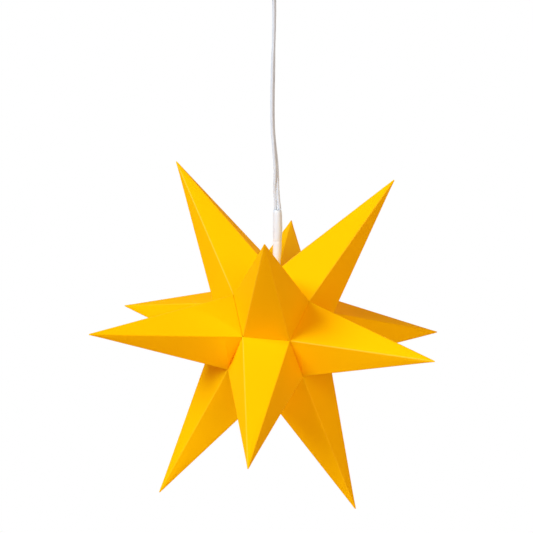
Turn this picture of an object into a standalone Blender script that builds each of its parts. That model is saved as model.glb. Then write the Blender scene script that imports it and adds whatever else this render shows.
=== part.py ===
"""LED Christmas star: twelve folded spikes round a small lamp, hung by its lead from a battery holder.

Run with blender --background --python part.py, or from the text editor.
Metres, +Z up. The star's front looks along -Y. The origin is where a hook bears on the hanging loop.
"""

import math

import bmesh
import bpy
import numpy as np
from mathutils import Matrix, Vector

MM = 0.001
GAP = 0.3 * MM  # between pieces that touch
PHI = (1 + math.sqrt(5)) / 2

# Star: twelve five-sided spikes on a core with twelve five-sided faces
TIP_RADIUS = 125 * MM  # centre to tip
CORE_RADIUS = 41.4 * MM  # centre to a corner where three spikes meet
SHEET = 0.5 * MM
SEAM_HALF_GAP = GAP / 2
TIP_BLUNT = 0.45 * MM  # a folded tip is never quite sharp
HOLLOW_SHARE = 0.96  # how far up a spike its hollow reaches
TAB_DEPTH = 9 * MM  # base tabs, glued face to face inside the star
TAB_START = 2.5 * MM  # bare corner beside each tab
TAB_TAPER = 4.5 * MM  # how much narrower a tab is at its end, on each side
STAR_TILT = math.radians(4.4)  # the star hangs a little clockwise
STAR_X = -1.5 * MM
STAR_Z = -300 * MM

# Each spike's true axis, and how far its tip has relaxed from it, in mm to the right and up
SPIKES = {
    "spike_top_left": ((-1, 0, PHI), (-3.0, -3.6)),
    "spike_top_right": ((1, 0, PHI), (4.1, -4.1)),
    "spike_bottom_left": ((-1, 0, -PHI), (1.5, -4.7)),
    "spike_bottom_right": ((1, 0, -PHI), (-3.1, -3.4)),
    "spike_front_upper": ((0, -PHI, 1), (0.0, -1.2)),
    "spike_front_lower": ((0, -PHI, -1), (0.4, -2.5)),
    "spike_back_upper": ((0, PHI, 1), (-0.2, -2.8)),
    "spike_back_lower": ((0, PHI, -1), (0.0, -2.0)),
    "spike_left_front": ((-PHI, -1, 0), (0.3, -3.1)),
    "spike_left_back": ((-PHI, 1, 0), (1.2, -0.6)),
    "spike_right_front": ((PHI, -1, 0), (-2.0, -0.9)),
    "spike_right_back": ((PHI, 1, 0), (-1.0, 0.0)),
}
SPLIT_SPIKES = ("spike_top_left", "spike_top_right")  # the lamp stem comes out between them

# Lead: two round cores side by side
CORE_WIRE_RADIUS = 0.9 * MM
CORE_WIRE_OFFSET = 1.05 * MM
LEAD_RADIUS = 1.7 * MM  # the plain tube that stands for the flat lead
LEAD_X = 2.4 * MM  # axis of the sleeve, the stem and the lamp
PIVOT_Z = -84 * MM  # the lead bends here, in the gland's mouth
SLEEVE_TOP = STAR_Z + 77.3 * MM
SLEEVE_BOTTOM = STAR_Z + 57.5 * MM
SLEEVE_RADIUS = 2.9 * MM
BORE_RADIUS = 2.35 * MM  # of the sleeve and the stem
# Points that the lead runs through, in mm: right, back, up
LEAD_ROUTE = (
    (0.0, 0.0, -84.0),
    (0.1, 0.0, -88.5),
    (0.2, 0.1, -97.0),
    (0.1, 0.3, -106.0),
    (-0.1, 0.5, -115.6),
    (-0.5, 0.7, -128.0),
    (-0.7, 0.8, -140.6),
    (-0.9, 0.6, -151.0),
    (-0.9, 0.2, -162.0),
    (-0.6, -0.3, -172.0),
    (0.0, -0.7, -179.0),
    (0.7, -0.9, -186.5),
    (1.4, -0.9, -194.5),
    (1.6, -0.6, -202.0),
    (1.5, -0.3, -209.0),
    (2.0, -0.1, -216.5),
    (2.4, 0.0, -222.4),
)
LEAD_STEPS = 19  # one point every two or three diameters

# Lamp, inside the core
STEM_RADIUS = 3.0 * MM
STEM_BOTTOM = STAR_Z + 24.8 * MM
STEM_FLANGE_RADIUS = 4.6 * MM
STEM_FLANGE = 1.2 * MM
WASHER_TOP = STAR_Z + 29.3 * MM
WASHER = 1.2 * MM
WASHER_RADIUS = 9.5 * MM
HOUSING_TOP = WASHER_TOP - WASHER - GAP
HOUSING_BOTTOM = STAR_Z + 6 * MM
HOUSING_RADIUS = 8 * MM
HOUSING_WALL = 1.2 * MM
LED_BOARD_Z = STAR_Z + 12 * MM  # underside
LED_BOARD_RADIUS = 6.3 * MM
LED_BOARD = 1.0 * MM
LED_SIZE = (3.5 * MM, 2.8 * MM, 0.8 * MM)
LED_RING = 3.2 * MM
LED_COUNT = 3
DIFFUSER_NECK_TOP = STAR_Z + 9.5 * MM
DIFFUSER_NECK_RADIUS = 6.4 * MM
DIFFUSER_BOTTOM = STAR_Z - 12 * MM
DIFFUSER_WALL = 1.0 * MM

# Hanging loop
LOOP_WIRE_RADIUS = 1.2 * MM
LOOP_INNER_RADIUS = 4.5 * MM
LOOP_LEG_END = -12.4 * MM
LOOP_HOLE_RADIUS = 1.5 * MM

# Battery holder
BODY_TOP = -10 * MM
BODY_BOTTOM = -82 * MM
BODY_HALF_WIDTH = 25 * MM
BODY_BACK = 9.5 * MM
BODY_FRONT = -9.8 * MM
BODY_CORNER = 3 * MM
BODY_EDGE = 0.8 * MM
WALL = 1.6 * MM
TOP_WALL = 3 * MM
SHELF_TOP = -70.3 * MM  # parts the cells from the circuit board
SHELF = 1.5 * MM
COVER = 2 * MM
COVER_PIVOT_DROP = 1.2 * MM  # from the cover's top edge to its pegs
PEG_RADIUS = 1.1 * MM
PEG_LENGTH = 1.0 * MM
PEG_HOLE_RADIUS = 1.4 * MM
PEG_HOLE_DEPTH = 1.3 * MM
FINGER_NOTCH_RADIUS = 7 * MM
GRIP_RIBS = 4
GRIP_RIB = (18 * MM, 0.8 * MM, 0.9 * MM)
GRIP_PITCH = 2.4 * MM
CELL_RADIUS = 7.1 * MM
CELL_PITCH = 15.2 * MM
CELL_Y = 0.4 * MM
CELL_TOP = -14.1 * MM
CELL_BODY = 49.1 * MM
NUB_RADIUS = 2.6 * MM
NUB = 1.4 * MM
CONTACT = 0.5 * MM
CONTACT_HALF_DEPTH = 4.8 * MM
CONTACT_HALF_WIDTH = 4.8 * MM
SPRING_WIRE_RADIUS = 0.35 * MM
SPRING_RADII = (3.6 * MM, 2.4 * MM)  # at its plate and at the cell
SPRING_TURNS = 2.75
SPRING_STEPS = 10  # points in a turn
CRADLE_RIB = (1.0 * MM, 3.6 * MM)  # width, and height from the back wall

# Circuit board, switch and gland, below the shelf
BOARD_HALF_WIDTH = 20 * MM
BOARD_BACK = 7.2 * MM
BOARD = 1.0 * MM
BOARD_TOP = -72.3 * MM
BOARD_BOTTOM = -79.9 * MM
SCREW_XS = (-17 * MM, 6 * MM)
SCREW_Z = -76 * MM
SCREW_SHANK_RADIUS = 0.85 * MM
SCREW_HOLE_RADIUS = 1.15 * MM
SCREW_HEAD_RADIUS = 1.8 * MM
SCREW_HEAD = 1.2 * MM
SCREW_LENGTH = 2.5 * MM
SWITCH_X = 15 * MM
SWITCH_Y = 3 * MM
SWITCH_TRAVEL = 4 * MM
KNOB = (4.5 * MM, 3.0 * MM, 1.8 * MM)
SLIDER_STEM = (2.4 * MM, 2.0 * MM)
GLAND_NECK_RADIUS = 4.0 * MM
GLAND_FLANGE_RADIUS = 5.5 * MM
GLAND_MOUTH_RADIUS = 6.0 * MM
GLAND_BOTTOM = -88 * MM
GLAND_BORE_RADIUS = 2.7 * MM
GLAND_FLARE_RADIUS = 5.0 * MM
BOARD_LEAD_START = PIVOT_Z + 1.3 * MM  # just clear of the lead's end as it swings

# Materials: colour, roughness, metallic
MATERIALS = {
    "yellow_sheet": ("FFC400", 0.6, 0.0),
    "white_lead": ("EDE6E2", 0.45, 0.0),
    "white_sleeve": ("F6F1EC", 0.5, 0.0),
    "white_moulding": ("F4F3EF", 0.4, 0.0),
    "milky_moulding": ("FBF8EF", 0.3, 0.0),
    "grey_rubber": ("D9D6D0", 0.7, 0.0),
    "board_green": ("2E6B45", 0.5, 0.0),
    "black_moulding": ("202124", 0.4, 0.0),
    "led_yellow": ("F2D25A", 0.3, 0.0),
    "nickel_plate": ("C9C6BF", 0.3, 1.0),
    "cell_jacket": ("3C4A57", 0.35, 0.3),
    "steel": ("B9BBBC", 0.3, 1.0),
}


def clear_scene():
    for obj in list(bpy.data.objects):
        bpy.data.objects.remove(obj, do_unlink=True)


def linear(hex_colour):
    """An sRGB hex colour as linear values with alpha."""
    channels = [int(hex_colour[i : i + 2], 16) / 255 for i in (0, 2, 4)]
    return [c / 12.92 if c <= 0.04045 else ((c + 0.055) / 1.055) ** 2.4 for c in channels] + [1.0]


def material(name):
    if name in bpy.data.materials:
        return bpy.data.materials[name]
    colour, roughness, metallic = MATERIALS[name]
    made = bpy.data.materials.new(name)
    made.use_nodes = True
    shader = made.node_tree.nodes["Principled BSDF"]
    shader.inputs["Base Color"].default_value = linear(colour)
    shader.inputs["Roughness"].default_value = roughness
    shader.inputs["Metallic"].default_value = metallic
    return made


def add_object(name, data, material_name, pivot=None, at=(0, 0, 0)):
    """An object with its origin at a world place, carried by a pivot empty if one is given."""
    obj = bpy.data.objects.new(name, data)
    bpy.context.collection.objects.link(obj)
    data.materials.append(material(material_name))
    place = Vector(at)
    if pivot:
        obj.parent = pivot
        place = pivot.rotation_euler.to_matrix().inverted() @ (place - pivot.location)
    obj.location = place
    return obj


def add_pivot(name, at, tilt=0.0):
    pivot = bpy.data.objects.new(name, None)
    bpy.context.collection.objects.link(pivot)
    pivot.location = at
    pivot.rotation_euler = (0, tilt, 0)
    return pivot


def finish_mesh(bm, name, smooth=False):
    bmesh.ops.remove_doubles(bm, verts=bm.verts, dist=1e-7)
    bmesh.ops.recalc_face_normals(bm, faces=bm.faces)
    mesh = bpy.data.meshes.new(name)
    bm.to_mesh(mesh)
    bm.free()
    if smooth:
        mesh.shade_smooth()
        mesh.set_sharp_from_angle(angle=math.radians(35))
    return mesh


def box_mesh(name, low, high, corner=0.0, edge=0.0):
    """A box, with its upright edges rounded by corner and its other edges by edge."""
    bm = bmesh.new()
    size = Vector(high) - Vector(low)
    middle = (Vector(high) + Vector(low)) / 2
    bmesh.ops.create_cube(bm, size=1, matrix=Matrix.Translation(middle) @ Matrix.Diagonal(size).to_4x4())
    if corner:
        upright = [e for e in bm.edges if abs((e.verts[0].co - e.verts[1].co).z) > size.z / 2]
        bmesh.ops.bevel(bm, geom=upright, offset=corner, segments=4, affect="EDGES", profile=0.5)
    if edge:
        flat = [e for e in bm.edges if abs((e.verts[0].co - e.verts[1].co).z) < 1e-6]
        rims = [e for e in flat if len({round(f.normal.z) for f in e.link_faces}) > 1]
        bmesh.ops.bevel(bm, geom=rims, offset=edge, segments=2, affect="EDGES", profile=0.5)
    return finish_mesh(bm, name, smooth=True)


def turned_mesh(name, profile, sides=28, closed=True):
    """A profile of (radius, height) turned about Z. An open profile starts and ends on the axis."""
    bm = bmesh.new()
    verts = [bm.verts.new((r, 0, z)) for r, z in profile]
    pairs = list(zip(verts, verts[1:])) + ([(verts[-1], verts[0])] if closed else [])
    edges = [bm.edges.new(pair) for pair in pairs]
    bmesh.ops.spin(
        bm, geom=verts + edges, cent=(0, 0, 0), axis=(0, 0, 1), angle=2 * math.pi, steps=sides, use_merge=True
    )
    return finish_mesh(bm, name, smooth=True)


def rod_mesh(name, radius, start, end, sides=20):
    """A plain round rod between two points."""
    start, end = Vector(start), Vector(end)
    bm = bmesh.new()
    turn = (end - start).to_track_quat("Z", "Y").to_matrix().to_4x4()
    bmesh.ops.create_cone(
        bm,
        cap_ends=True,
        segments=sides,
        radius1=radius,
        radius2=radius,
        depth=(end - start).length,
        matrix=Matrix.Translation((start + end) / 2) @ turn,
    )
    return finish_mesh(bm, name, smooth=True)


def tube_curve(name, points, radius, resolution=2):
    """A round tube with filled ends along a line of points."""
    curve = bpy.data.curves.new(name, "CURVE")
    curve.dimensions = "3D"
    curve.bevel_depth = radius
    curve.bevel_resolution = resolution
    curve.use_fill_caps = True
    spline = curve.splines.new("POLY")
    spline.points.add(len(points) - 1)
    for spot, point in zip(spline.points, points):
        spot.co = (*point, 1)
    return curve


def smooth_line(points, steps):
    """Evenly counted points on one smooth curve through the given points."""
    p = np.array(points, float)
    p = np.vstack([2 * p[0] - p[1], p, 2 * p[-1] - p[-2]])
    line = []
    for at in np.linspace(0, len(points) - 1, steps + 1):
        i = min(int(at), len(points) - 2)
        t = at - i
        a, b, c, d = p[i : i + 4]
        line.append(
            0.5 * (2 * b + (c - a) * t + (2 * a - 5 * b + 4 * c - d) * t**2 + (3 * b - a - 3 * c + d) * t**3)
        )
    return line


def shape(obj, helper_mesh, name, operation="DIFFERENCE"):
    """Cuts a hidden helper out of an object, or joins it on with UNION."""
    helper = bpy.data.objects.new(name, helper_mesh)
    bpy.context.collection.objects.link(helper)
    helper.hide_render = True
    helper.display_type = "WIRE"
    modifier = obj.modifiers.new(name, "BOOLEAN")
    modifier.operation = operation
    modifier.object = helper


# Star


def unit(vector):
    return np.array(vector, float) / np.linalg.norm(vector)


def neighbours(axis):
    """The five spike axes next to this one, in turn, counter-clockwise from outside."""
    near = [unit(a) for a, _ in SPIKES.values() if 0.1 < unit(a) @ axis < 0.9]
    across = unit(np.cross(axis, near[0]))
    along = np.cross(across, axis)
    return sorted(near, key=lambda a: math.atan2(a @ across, a @ along))


def spike_mesh(name):
    """One sheet folded into a five-sided spike, with a tab along each side of its open base."""
    direction, lean = SPIKES[name]
    axis = unit(direction)
    around = neighbours(axis)
    corners = [CORE_RADIUS * unit(axis + around[i] + around[(i + 1) % 5]) for i in range(5)]
    seams = [unit(np.cross(corners[i], corners[(i + 1) % 5])) for i in range(5)]
    base = [
        corner + np.linalg.solve([seams[i - 1], seams[i], unit(corner)], [SEAM_HALF_GAP, SEAM_HALF_GAP, 0])
        for i, corner in enumerate(corners)
    ]
    middle = sum(base) / 5
    tip = TIP_RADIUS * axis + np.array([lean[0], 0, lean[1]]) * MM
    top = [tip + TIP_BLUNT * unit(corner - middle) for corner in base]
    faces = [unit(np.cross(base[(i + 1) % 5] - base[i], top[i] - base[i])) for i in range(5)]
    ridges = [unit(top[i] - base[i]) for i in range(5)]
    inward = [np.linalg.solve([faces[i - 1], faces[i], ridges[i]], [-SHEET, -SHEET, 0]) for i in range(5)]
    inner_base = [base[i] + inward[i] for i in range(5)]
    inner_top = [inner_base[i] + HOLLOW_SHARE * (top[i] - base[i]) for i in range(5)]

    bm = bmesh.new()
    spots = {
        key: [bm.verts.new(p) for p in points]
        for key, points in (("base", base), ("top", top), ("in_base", inner_base), ("in_top", inner_top))
    }
    bm.faces.new(spots["top"])
    bm.faces.new(spots["in_top"])
    for i in range(5):
        j = (i + 1) % 5
        edge = base[j] - base[i]
        run = unit(edge)
        down = -unit(base[i] + base[j])
        fold = np.linalg.solve([faces[i], seams[i], run], [-SHEET, SHEET, 0])
        start, stop = base[i] + TAB_START * run, base[j] - TAB_START * run
        start_end, stop_end = (
            start + TAB_TAPER * run + TAB_DEPTH * down,
            stop - TAB_TAPER * run + TAB_DEPTH * down,
        )
        a, b, c, d = (bm.verts.new(p) for p in (start, stop, start_end, stop_end))
        e, f = bm.verts.new(start + fold), bm.verts.new(stop + fold)
        g, h = (bm.verts.new(p + SHEET * seams[i]) for p in (start_end, stop_end))
        v, w = spots["base"][i], spots["base"][j]
        x, y = spots["in_base"][i], spots["in_base"][j]
        bm.faces.new((v, a, b, w, spots["top"][j], spots["top"][i]))  # outside of the spike
        bm.faces.new((x, e, f, y, spots["in_top"][j], spots["in_top"][i]))  # inside of the spike
        bm.faces.new((a, c, d, b))
        bm.faces.new((e, g, h, f))
        bm.faces.new((c, g, h, d))
        bm.faces.new((a, e, g, c))
        bm.faces.new((b, d, h, f))
        bm.faces.new((v, x, e, a))
        bm.faces.new((b, f, y, w))
    return finish_mesh(bm, name)


def make_star(lead_pivot):
    centre = Vector((STAR_X, 0, STAR_Z))
    seam_z = STAR_Z + CORE_RADIUS * PHI / math.sqrt(3)
    pivot = add_pivot("star_pivot", (LEAD_X, 0, seam_z), STAR_TILT)
    hole = rod_mesh(
        "stem_hole",
        STEM_RADIUS + GAP,
        (LEAD_X, 0, STEM_BOTTOM),
        (LEAD_X, 0, SLEEVE_BOTTOM + 20 * MM),
        sides=32,
    )
    for name in SPIKES:
        spike = add_object(name, spike_mesh(name), "yellow_sheet", pivot, centre)
        if name in SPLIT_SPIKES:
            shape(spike, hole, f"{name}_stem_hole")
    return pivot


# Lead and lamp


def make_lead(pivot):
    place = pivot.location
    route = smooth_line(LEAD_ROUTE, LEAD_STEPS)
    local = [np.array(point) * MM - np.array(place) for point in route]
    add_object("lead_cord", tube_curve("lead_cord", local, LEAD_RADIUS), "white_lead", pivot, place)
    axis_at = (LEAD_X, 0, 0)
    sleeve = [
        (BORE_RADIUS, SLEEVE_TOP),
        (SLEEVE_RADIUS - 0.3 * MM, SLEEVE_TOP),
        (SLEEVE_RADIUS, SLEEVE_TOP - 0.6 * MM),
        (SLEEVE_RADIUS - 0.15 * MM, (SLEEVE_TOP + SLEEVE_BOTTOM) / 2),
        (SLEEVE_RADIUS, SLEEVE_BOTTOM + 0.3 * MM),
        (SLEEVE_RADIUS - 0.2 * MM, SLEEVE_BOTTOM),
        (BORE_RADIUS, SLEEVE_BOTTOM),
    ]
    add_object("lead_sleeve", turned_mesh("lead_sleeve", sleeve), "white_sleeve", pivot, axis_at)
    for number, side in ((1, -1), (2, 1)):
        name = f"lead_core_{number}"
        core = tube_curve(
            name,
            [
                (side * CORE_WIRE_OFFSET, 0, z)
                for z in np.linspace(SLEEVE_TOP - GAP, LED_BOARD_Z + LED_BOARD + GAP, 9)
            ],
            CORE_WIRE_RADIUS,
        )
        add_object(name, core, "white_lead", pivot, axis_at)


def make_lamp(pivot):
    axis_at = (LEAD_X, 0, 0)
    stem_top = SLEEVE_BOTTOM - GAP
    stem = [
        (BORE_RADIUS, stem_top),
        (STEM_RADIUS - 0.4 * MM, stem_top),
        (STEM_RADIUS, stem_top - 0.5 * MM),
        (STEM_RADIUS, STEM_BOTTOM + STEM_FLANGE),
        (STEM_FLANGE_RADIUS, STEM_BOTTOM + STEM_FLANGE),
        (STEM_FLANGE_RADIUS, STEM_BOTTOM),
        (BORE_RADIUS, STEM_BOTTOM),
    ]
    add_object("lamp_stem", turned_mesh("lamp_stem", stem), "white_moulding", pivot, axis_at)
    washer = [
        (STEM_RADIUS + GAP, WASHER_TOP),
        (WASHER_RADIUS, WASHER_TOP),
        (WASHER_RADIUS, WASHER_TOP - WASHER),
        (STEM_RADIUS + GAP, WASHER_TOP - WASHER),
    ]
    add_object("star_washer", turned_mesh("star_washer", washer), "white_moulding", pivot, axis_at)
    under_roof = HOUSING_TOP - HOUSING_WALL
    housing = [
        (STEM_RADIUS + GAP, HOUSING_TOP),
        (HOUSING_RADIUS - 0.8 * MM, HOUSING_TOP),
        (HOUSING_RADIUS, HOUSING_TOP - 0.8 * MM),
        (HOUSING_RADIUS, HOUSING_BOTTOM),
        (HOUSING_RADIUS - HOUSING_WALL, HOUSING_BOTTOM),
        (HOUSING_RADIUS - HOUSING_WALL, under_roof),
        (STEM_RADIUS + GAP, under_roof),
    ]
    add_object("lamp_housing", turned_mesh("lamp_housing", housing), "white_moulding", pivot, axis_at)
    board = rod_mesh(
        "led_board", LED_BOARD_RADIUS, (0, 0, LED_BOARD_Z), (0, 0, LED_BOARD_Z + LED_BOARD), sides=28
    )
    add_object("led_board", board, "board_green", pivot, axis_at)
    for number in range(1, LED_COUNT + 1):
        angle = 2 * math.pi * number / LED_COUNT
        name = f"led_{number}"
        half = Vector(LED_SIZE) / 2
        led = add_object(
            name,
            box_mesh(name, -half, half, corner=0.3 * MM),
            "led_yellow",
            pivot,
            (
                LEAD_X + LED_RING * math.cos(angle),
                LED_RING * math.sin(angle),
                LED_BOARD_Z - GAP - half.z,
            ),
        )
        led.rotation_euler = (0, 0, angle)
    make_diffuser(pivot, axis_at)


def make_diffuser(pivot, axis_at):
    """A milky cup that plugs into the housing, with a round end."""
    shoulder = HOUSING_BOTTOM - GAP
    dome = HOUSING_RADIUS
    centre = DIFFUSER_BOTTOM + dome
    outer = [(DIFFUSER_NECK_RADIUS, DIFFUSER_NECK_TOP), (DIFFUSER_NECK_RADIUS, shoulder), (dome, shoulder)]
    inner_dome, inner_neck = dome - DIFFUSER_WALL, DIFFUSER_NECK_RADIUS - DIFFUSER_WALL
    turns = [math.radians(a) for a in (0, 22.5, 45, 67.5)]
    outer += [(dome * math.cos(a), centre - dome * math.sin(a)) for a in turns]
    inner = [(inner_dome * math.cos(a), centre - inner_dome * math.sin(a)) for a in turns]
    inner += [(inner_dome, shoulder - DIFFUSER_WALL), (inner_neck, shoulder - DIFFUSER_WALL)]
    profile = outer + [(0, DIFFUSER_BOTTOM), (0, DIFFUSER_BOTTOM + DIFFUSER_WALL)]
    profile += inner[3::-1] + inner[4:] + [(inner_neck, DIFFUSER_NECK_TOP)]
    mesh = turned_mesh("lamp_diffuser", profile)
    add_object("lamp_diffuser", mesh, "milky_moulding", pivot, axis_at)


# Battery holder


def make_hanging_loop():
    """A wire staple whose legs stand in the top of the holder."""
    bend = LOOP_INNER_RADIUS + LOOP_WIRE_RADIUS
    centre_z = -LOOP_INNER_RADIUS
    arc = [math.radians(a) for a in range(0, 181, 18)]
    points = [(bend, 0, LOOP_LEG_END), (bend, 0, (LOOP_LEG_END + centre_z) / 2)]
    points += [(bend * math.cos(a), 0, centre_z + bend * math.sin(a)) for a in arc]
    points += [(-bend, 0, (LOOP_LEG_END + centre_z) / 2), (-bend, 0, LOOP_LEG_END)]
    add_object("hanging_loop", tube_curve("hanging_loop", points, LOOP_WIRE_RADIUS, 3), "steel")


def make_holder_body():
    inner = BODY_HALF_WIDTH - WALL
    back = BODY_BACK - WALL
    front = BODY_FRONT - 1 * MM
    cover_back = BODY_FRONT + COVER + GAP
    body = add_object(
        "holder_body",
        box_mesh(
            "holder_body",
            (-BODY_HALF_WIDTH, BODY_FRONT, BODY_BOTTOM),
            (BODY_HALF_WIDTH, BODY_BACK, BODY_TOP),
            BODY_CORNER,
            BODY_EDGE,
        ),
        "white_moulding",
    )
    rooms = {
        "cell_room": ((-inner, front, SHELF_TOP), (inner, back, BODY_TOP - TOP_WALL)),
        "board_room": ((-inner, front, BODY_BOTTOM + WALL), (inner, back, SHELF_TOP - SHELF)),
        "cover_room": ((-inner, front, SHELF_TOP - SHELF - 1 * MM), (inner, cover_back, SHELF_TOP + 1 * MM)),
    }
    for name, (low, high) in rooms.items():
        shape(body, box_mesh(name, low, high), name)
    for side in (-1, 1):
        x = side * (LOOP_INNER_RADIUS + LOOP_WIRE_RADIUS)
        low, high = BODY_TOP - TOP_WALL - MM, BODY_TOP + MM
        hole = rod_mesh("loop_hole", LOOP_HOLE_RADIUS, (x, 0, low), (x, 0, high))
        shape(body, hole, f"loop_hole_{side}")
        pivot_y, pivot_z = cover_pivot()
        x = side * inner
        deep = rod_mesh(
            "peg_hole",
            PEG_HOLE_RADIUS,
            (x - side * MM, pivot_y, pivot_z),
            (x + side * PEG_HOLE_DEPTH, pivot_y, pivot_z),
        )
        shape(body, deep, f"peg_hole_{side}")
    for x in SCREW_XS:
        start, end = (x, back - MM, SCREW_Z), (x, back + 1.1 * MM, SCREW_Z)
        hole = rod_mesh("screw_hole", SCREW_HOLE_RADIUS, start, end)
        shape(body, hole, f"screw_hole_{x:.3f}")
    gland = rod_mesh(
        "gland_hole", GLAND_NECK_RADIUS + GAP, (0, 0, BODY_BOTTOM - MM), (0, 0, BODY_BOTTOM + WALL + MM), 32
    )
    shape(body, gland, "gland_hole")
    half_slot = (SLIDER_STEM[0] + SWITCH_TRAVEL) / 2 + GAP
    slot = box_mesh(
        "switch_slot",
        (SWITCH_X - half_slot, SWITCH_Y - SLIDER_STEM[1] / 2 - GAP, BODY_BOTTOM - MM),
        (SWITCH_X + half_slot, SWITCH_Y + SLIDER_STEM[1] / 2 + GAP, BODY_BOTTOM + WALL + MM),
    )
    shape(body, slot, "switch_slot")
    width, height = CRADLE_RIB
    for side in (-1, 1):
        x = side * CELL_PITCH / 2
        rib = box_mesh(
            "cradle_rib",
            (x - width / 2, back - height, SHELF_TOP + 3 * MM),
            (x + width / 2, back + MM, CELL_TOP - 5 * MM),
        )
        shape(body, rib, f"cradle_rib_{side}", "UNION")


def cover_pivot():
    return BODY_FRONT + COVER / 2, BODY_TOP - TOP_WALL - GAP - COVER_PIVOT_DROP


def make_cover():
    """The front cover. It hangs on two pegs near its top edge, and a finger notch is at its bottom."""
    pivot_y, pivot_z = cover_pivot()
    half_width = BODY_HALF_WIDTH - WALL - GAP
    bottom = BODY_BOTTOM + WALL + GAP - pivot_z
    bm = bmesh.new()
    turns = [math.radians(a) for a in range(0, 181, 30)]
    half = COVER / 2
    outline = [(half * math.cos(a), COVER_PIVOT_DROP - half + half * math.sin(a)) for a in turns]
    outline += [(-half, bottom), (half, bottom)]
    face = bm.faces.new([bm.verts.new((-half_width, y, z)) for y, z in outline])
    grown = bmesh.ops.extrude_face_region(bm, geom=[face])["geom"]
    bmesh.ops.translate(
        bm, verts=[v for v in grown if isinstance(v, bmesh.types.BMVert)], vec=(2 * half_width, 0, 0)
    )
    at = Vector((0, pivot_y, pivot_z))
    plate = finish_mesh(bm, "battery_cover", smooth=True)
    cover = add_object("battery_cover", plate, "white_moulding", at=at)
    for side in (-1, 1):
        peg = rod_mesh(
            "peg",
            PEG_RADIUS - 0.1 * MM,
            at + Vector((side * (half_width - MM), 0, 0)),
            at + Vector((side * (half_width + PEG_LENGTH), 0, 0)),
            16,
        )
        shape(cover, peg, f"peg_{side}", "UNION")
    size = Vector(GRIP_RIB)
    for number in range(GRIP_RIBS):
        z = pivot_z + bottom + 9 * MM + number * GRIP_PITCH
        middle = Vector((0, BODY_FRONT - size.y / 2 + 0.4 * MM, z))
        rib = box_mesh("grip_rib", middle - size / 2, middle + size / 2)
        shape(cover, rib, f"grip_rib_{number}", "UNION")
    notch = rod_mesh(
        "finger_notch",
        FINGER_NOTCH_RADIUS,
        (0, BODY_FRONT - 2 * MM, pivot_z + bottom - 4.5 * MM),
        (0, BODY_FRONT + COVER + 2 * MM, pivot_z + bottom - 4.5 * MM),
        28,
    )
    shape(cover, notch, "finger_notch")


def make_cells():
    """Three cells in a row, the middle one upside down, each with a spring at its flat end."""
    spring_bottom = SHELF_TOP + 2 * GAP + CONTACT
    spring_height = CELL_TOP - NUB - CELL_BODY - GAP - spring_bottom
    profile = [
        (0, NUB),
        (NUB_RADIUS, NUB),
        (NUB_RADIUS, 0),
        (CELL_RADIUS - 0.8 * MM, 0),
        (CELL_RADIUS, -0.8 * MM),
        (CELL_RADIUS, -CELL_BODY + 0.8 * MM),
        (CELL_RADIUS - 0.8 * MM, -CELL_BODY),
        (0, -CELL_BODY),
    ]
    for number in (1, 2, 3):
        x = (number - 2) * CELL_PITCH
        flipped = number == 2
        name = f"battery_{number}"
        shoulder = CELL_TOP - spring_height - GAP - CELL_BODY if flipped else CELL_TOP - NUB
        turned = turned_mesh(name, profile, closed=False)
        cell = add_object(name, turned, "cell_jacket", at=(x, CELL_Y, shoulder))
        cell.rotation_euler = (math.pi if flipped else 0, 0, 0)
        name = f"contact_spring_{number}"
        plate = CELL_TOP if flipped else spring_bottom
        spring = add_object(name, spring_curve(name, spring_height), "nickel_plate", at=(x, CELL_Y, plate))
        spring.rotation_euler = (math.pi if flipped else 0, 0, 0)


def spring_curve(name, height):
    """A conical spring that stands on its wide end."""
    steps = round(SPRING_TURNS * SPRING_STEPS)
    wide, narrow = SPRING_RADII
    line = []
    for step in range(steps + 1):
        share = step / steps
        angle = 2 * math.pi * SPRING_TURNS * share
        radius = wide + (narrow - wide) * share
        z = SPRING_WIRE_RADIUS + (height - 2 * SPRING_WIRE_RADIUS) * share
        line.append((radius * math.cos(angle), radius * math.sin(angle), z))
    return tube_curve(name, line, SPRING_WIRE_RADIUS, 1)


def make_contacts():
    """Flat plates at both ends of the cells. A bridge joins two cells."""
    top = BODY_TOP - TOP_WALL - GAP
    bottom = SHELF_TOP + GAP + CONTACT
    spans = {
        "contact_top_single": (-1, -1, top),
        "contact_top_bridge": (0, 1, top),
        "contact_bottom_bridge": (-1, 0, bottom),
        "contact_bottom_single": (1, 1, bottom),
    }
    for name, (first, last, z) in spans.items():
        low = (first * CELL_PITCH - CONTACT_HALF_WIDTH, CELL_Y - CONTACT_HALF_DEPTH, z - CONTACT)
        high = (last * CELL_PITCH + CONTACT_HALF_WIDTH, CELL_Y + CONTACT_HALF_DEPTH, z)
        add_object(name, box_mesh(name, low, high, corner=MM), "nickel_plate")


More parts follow.
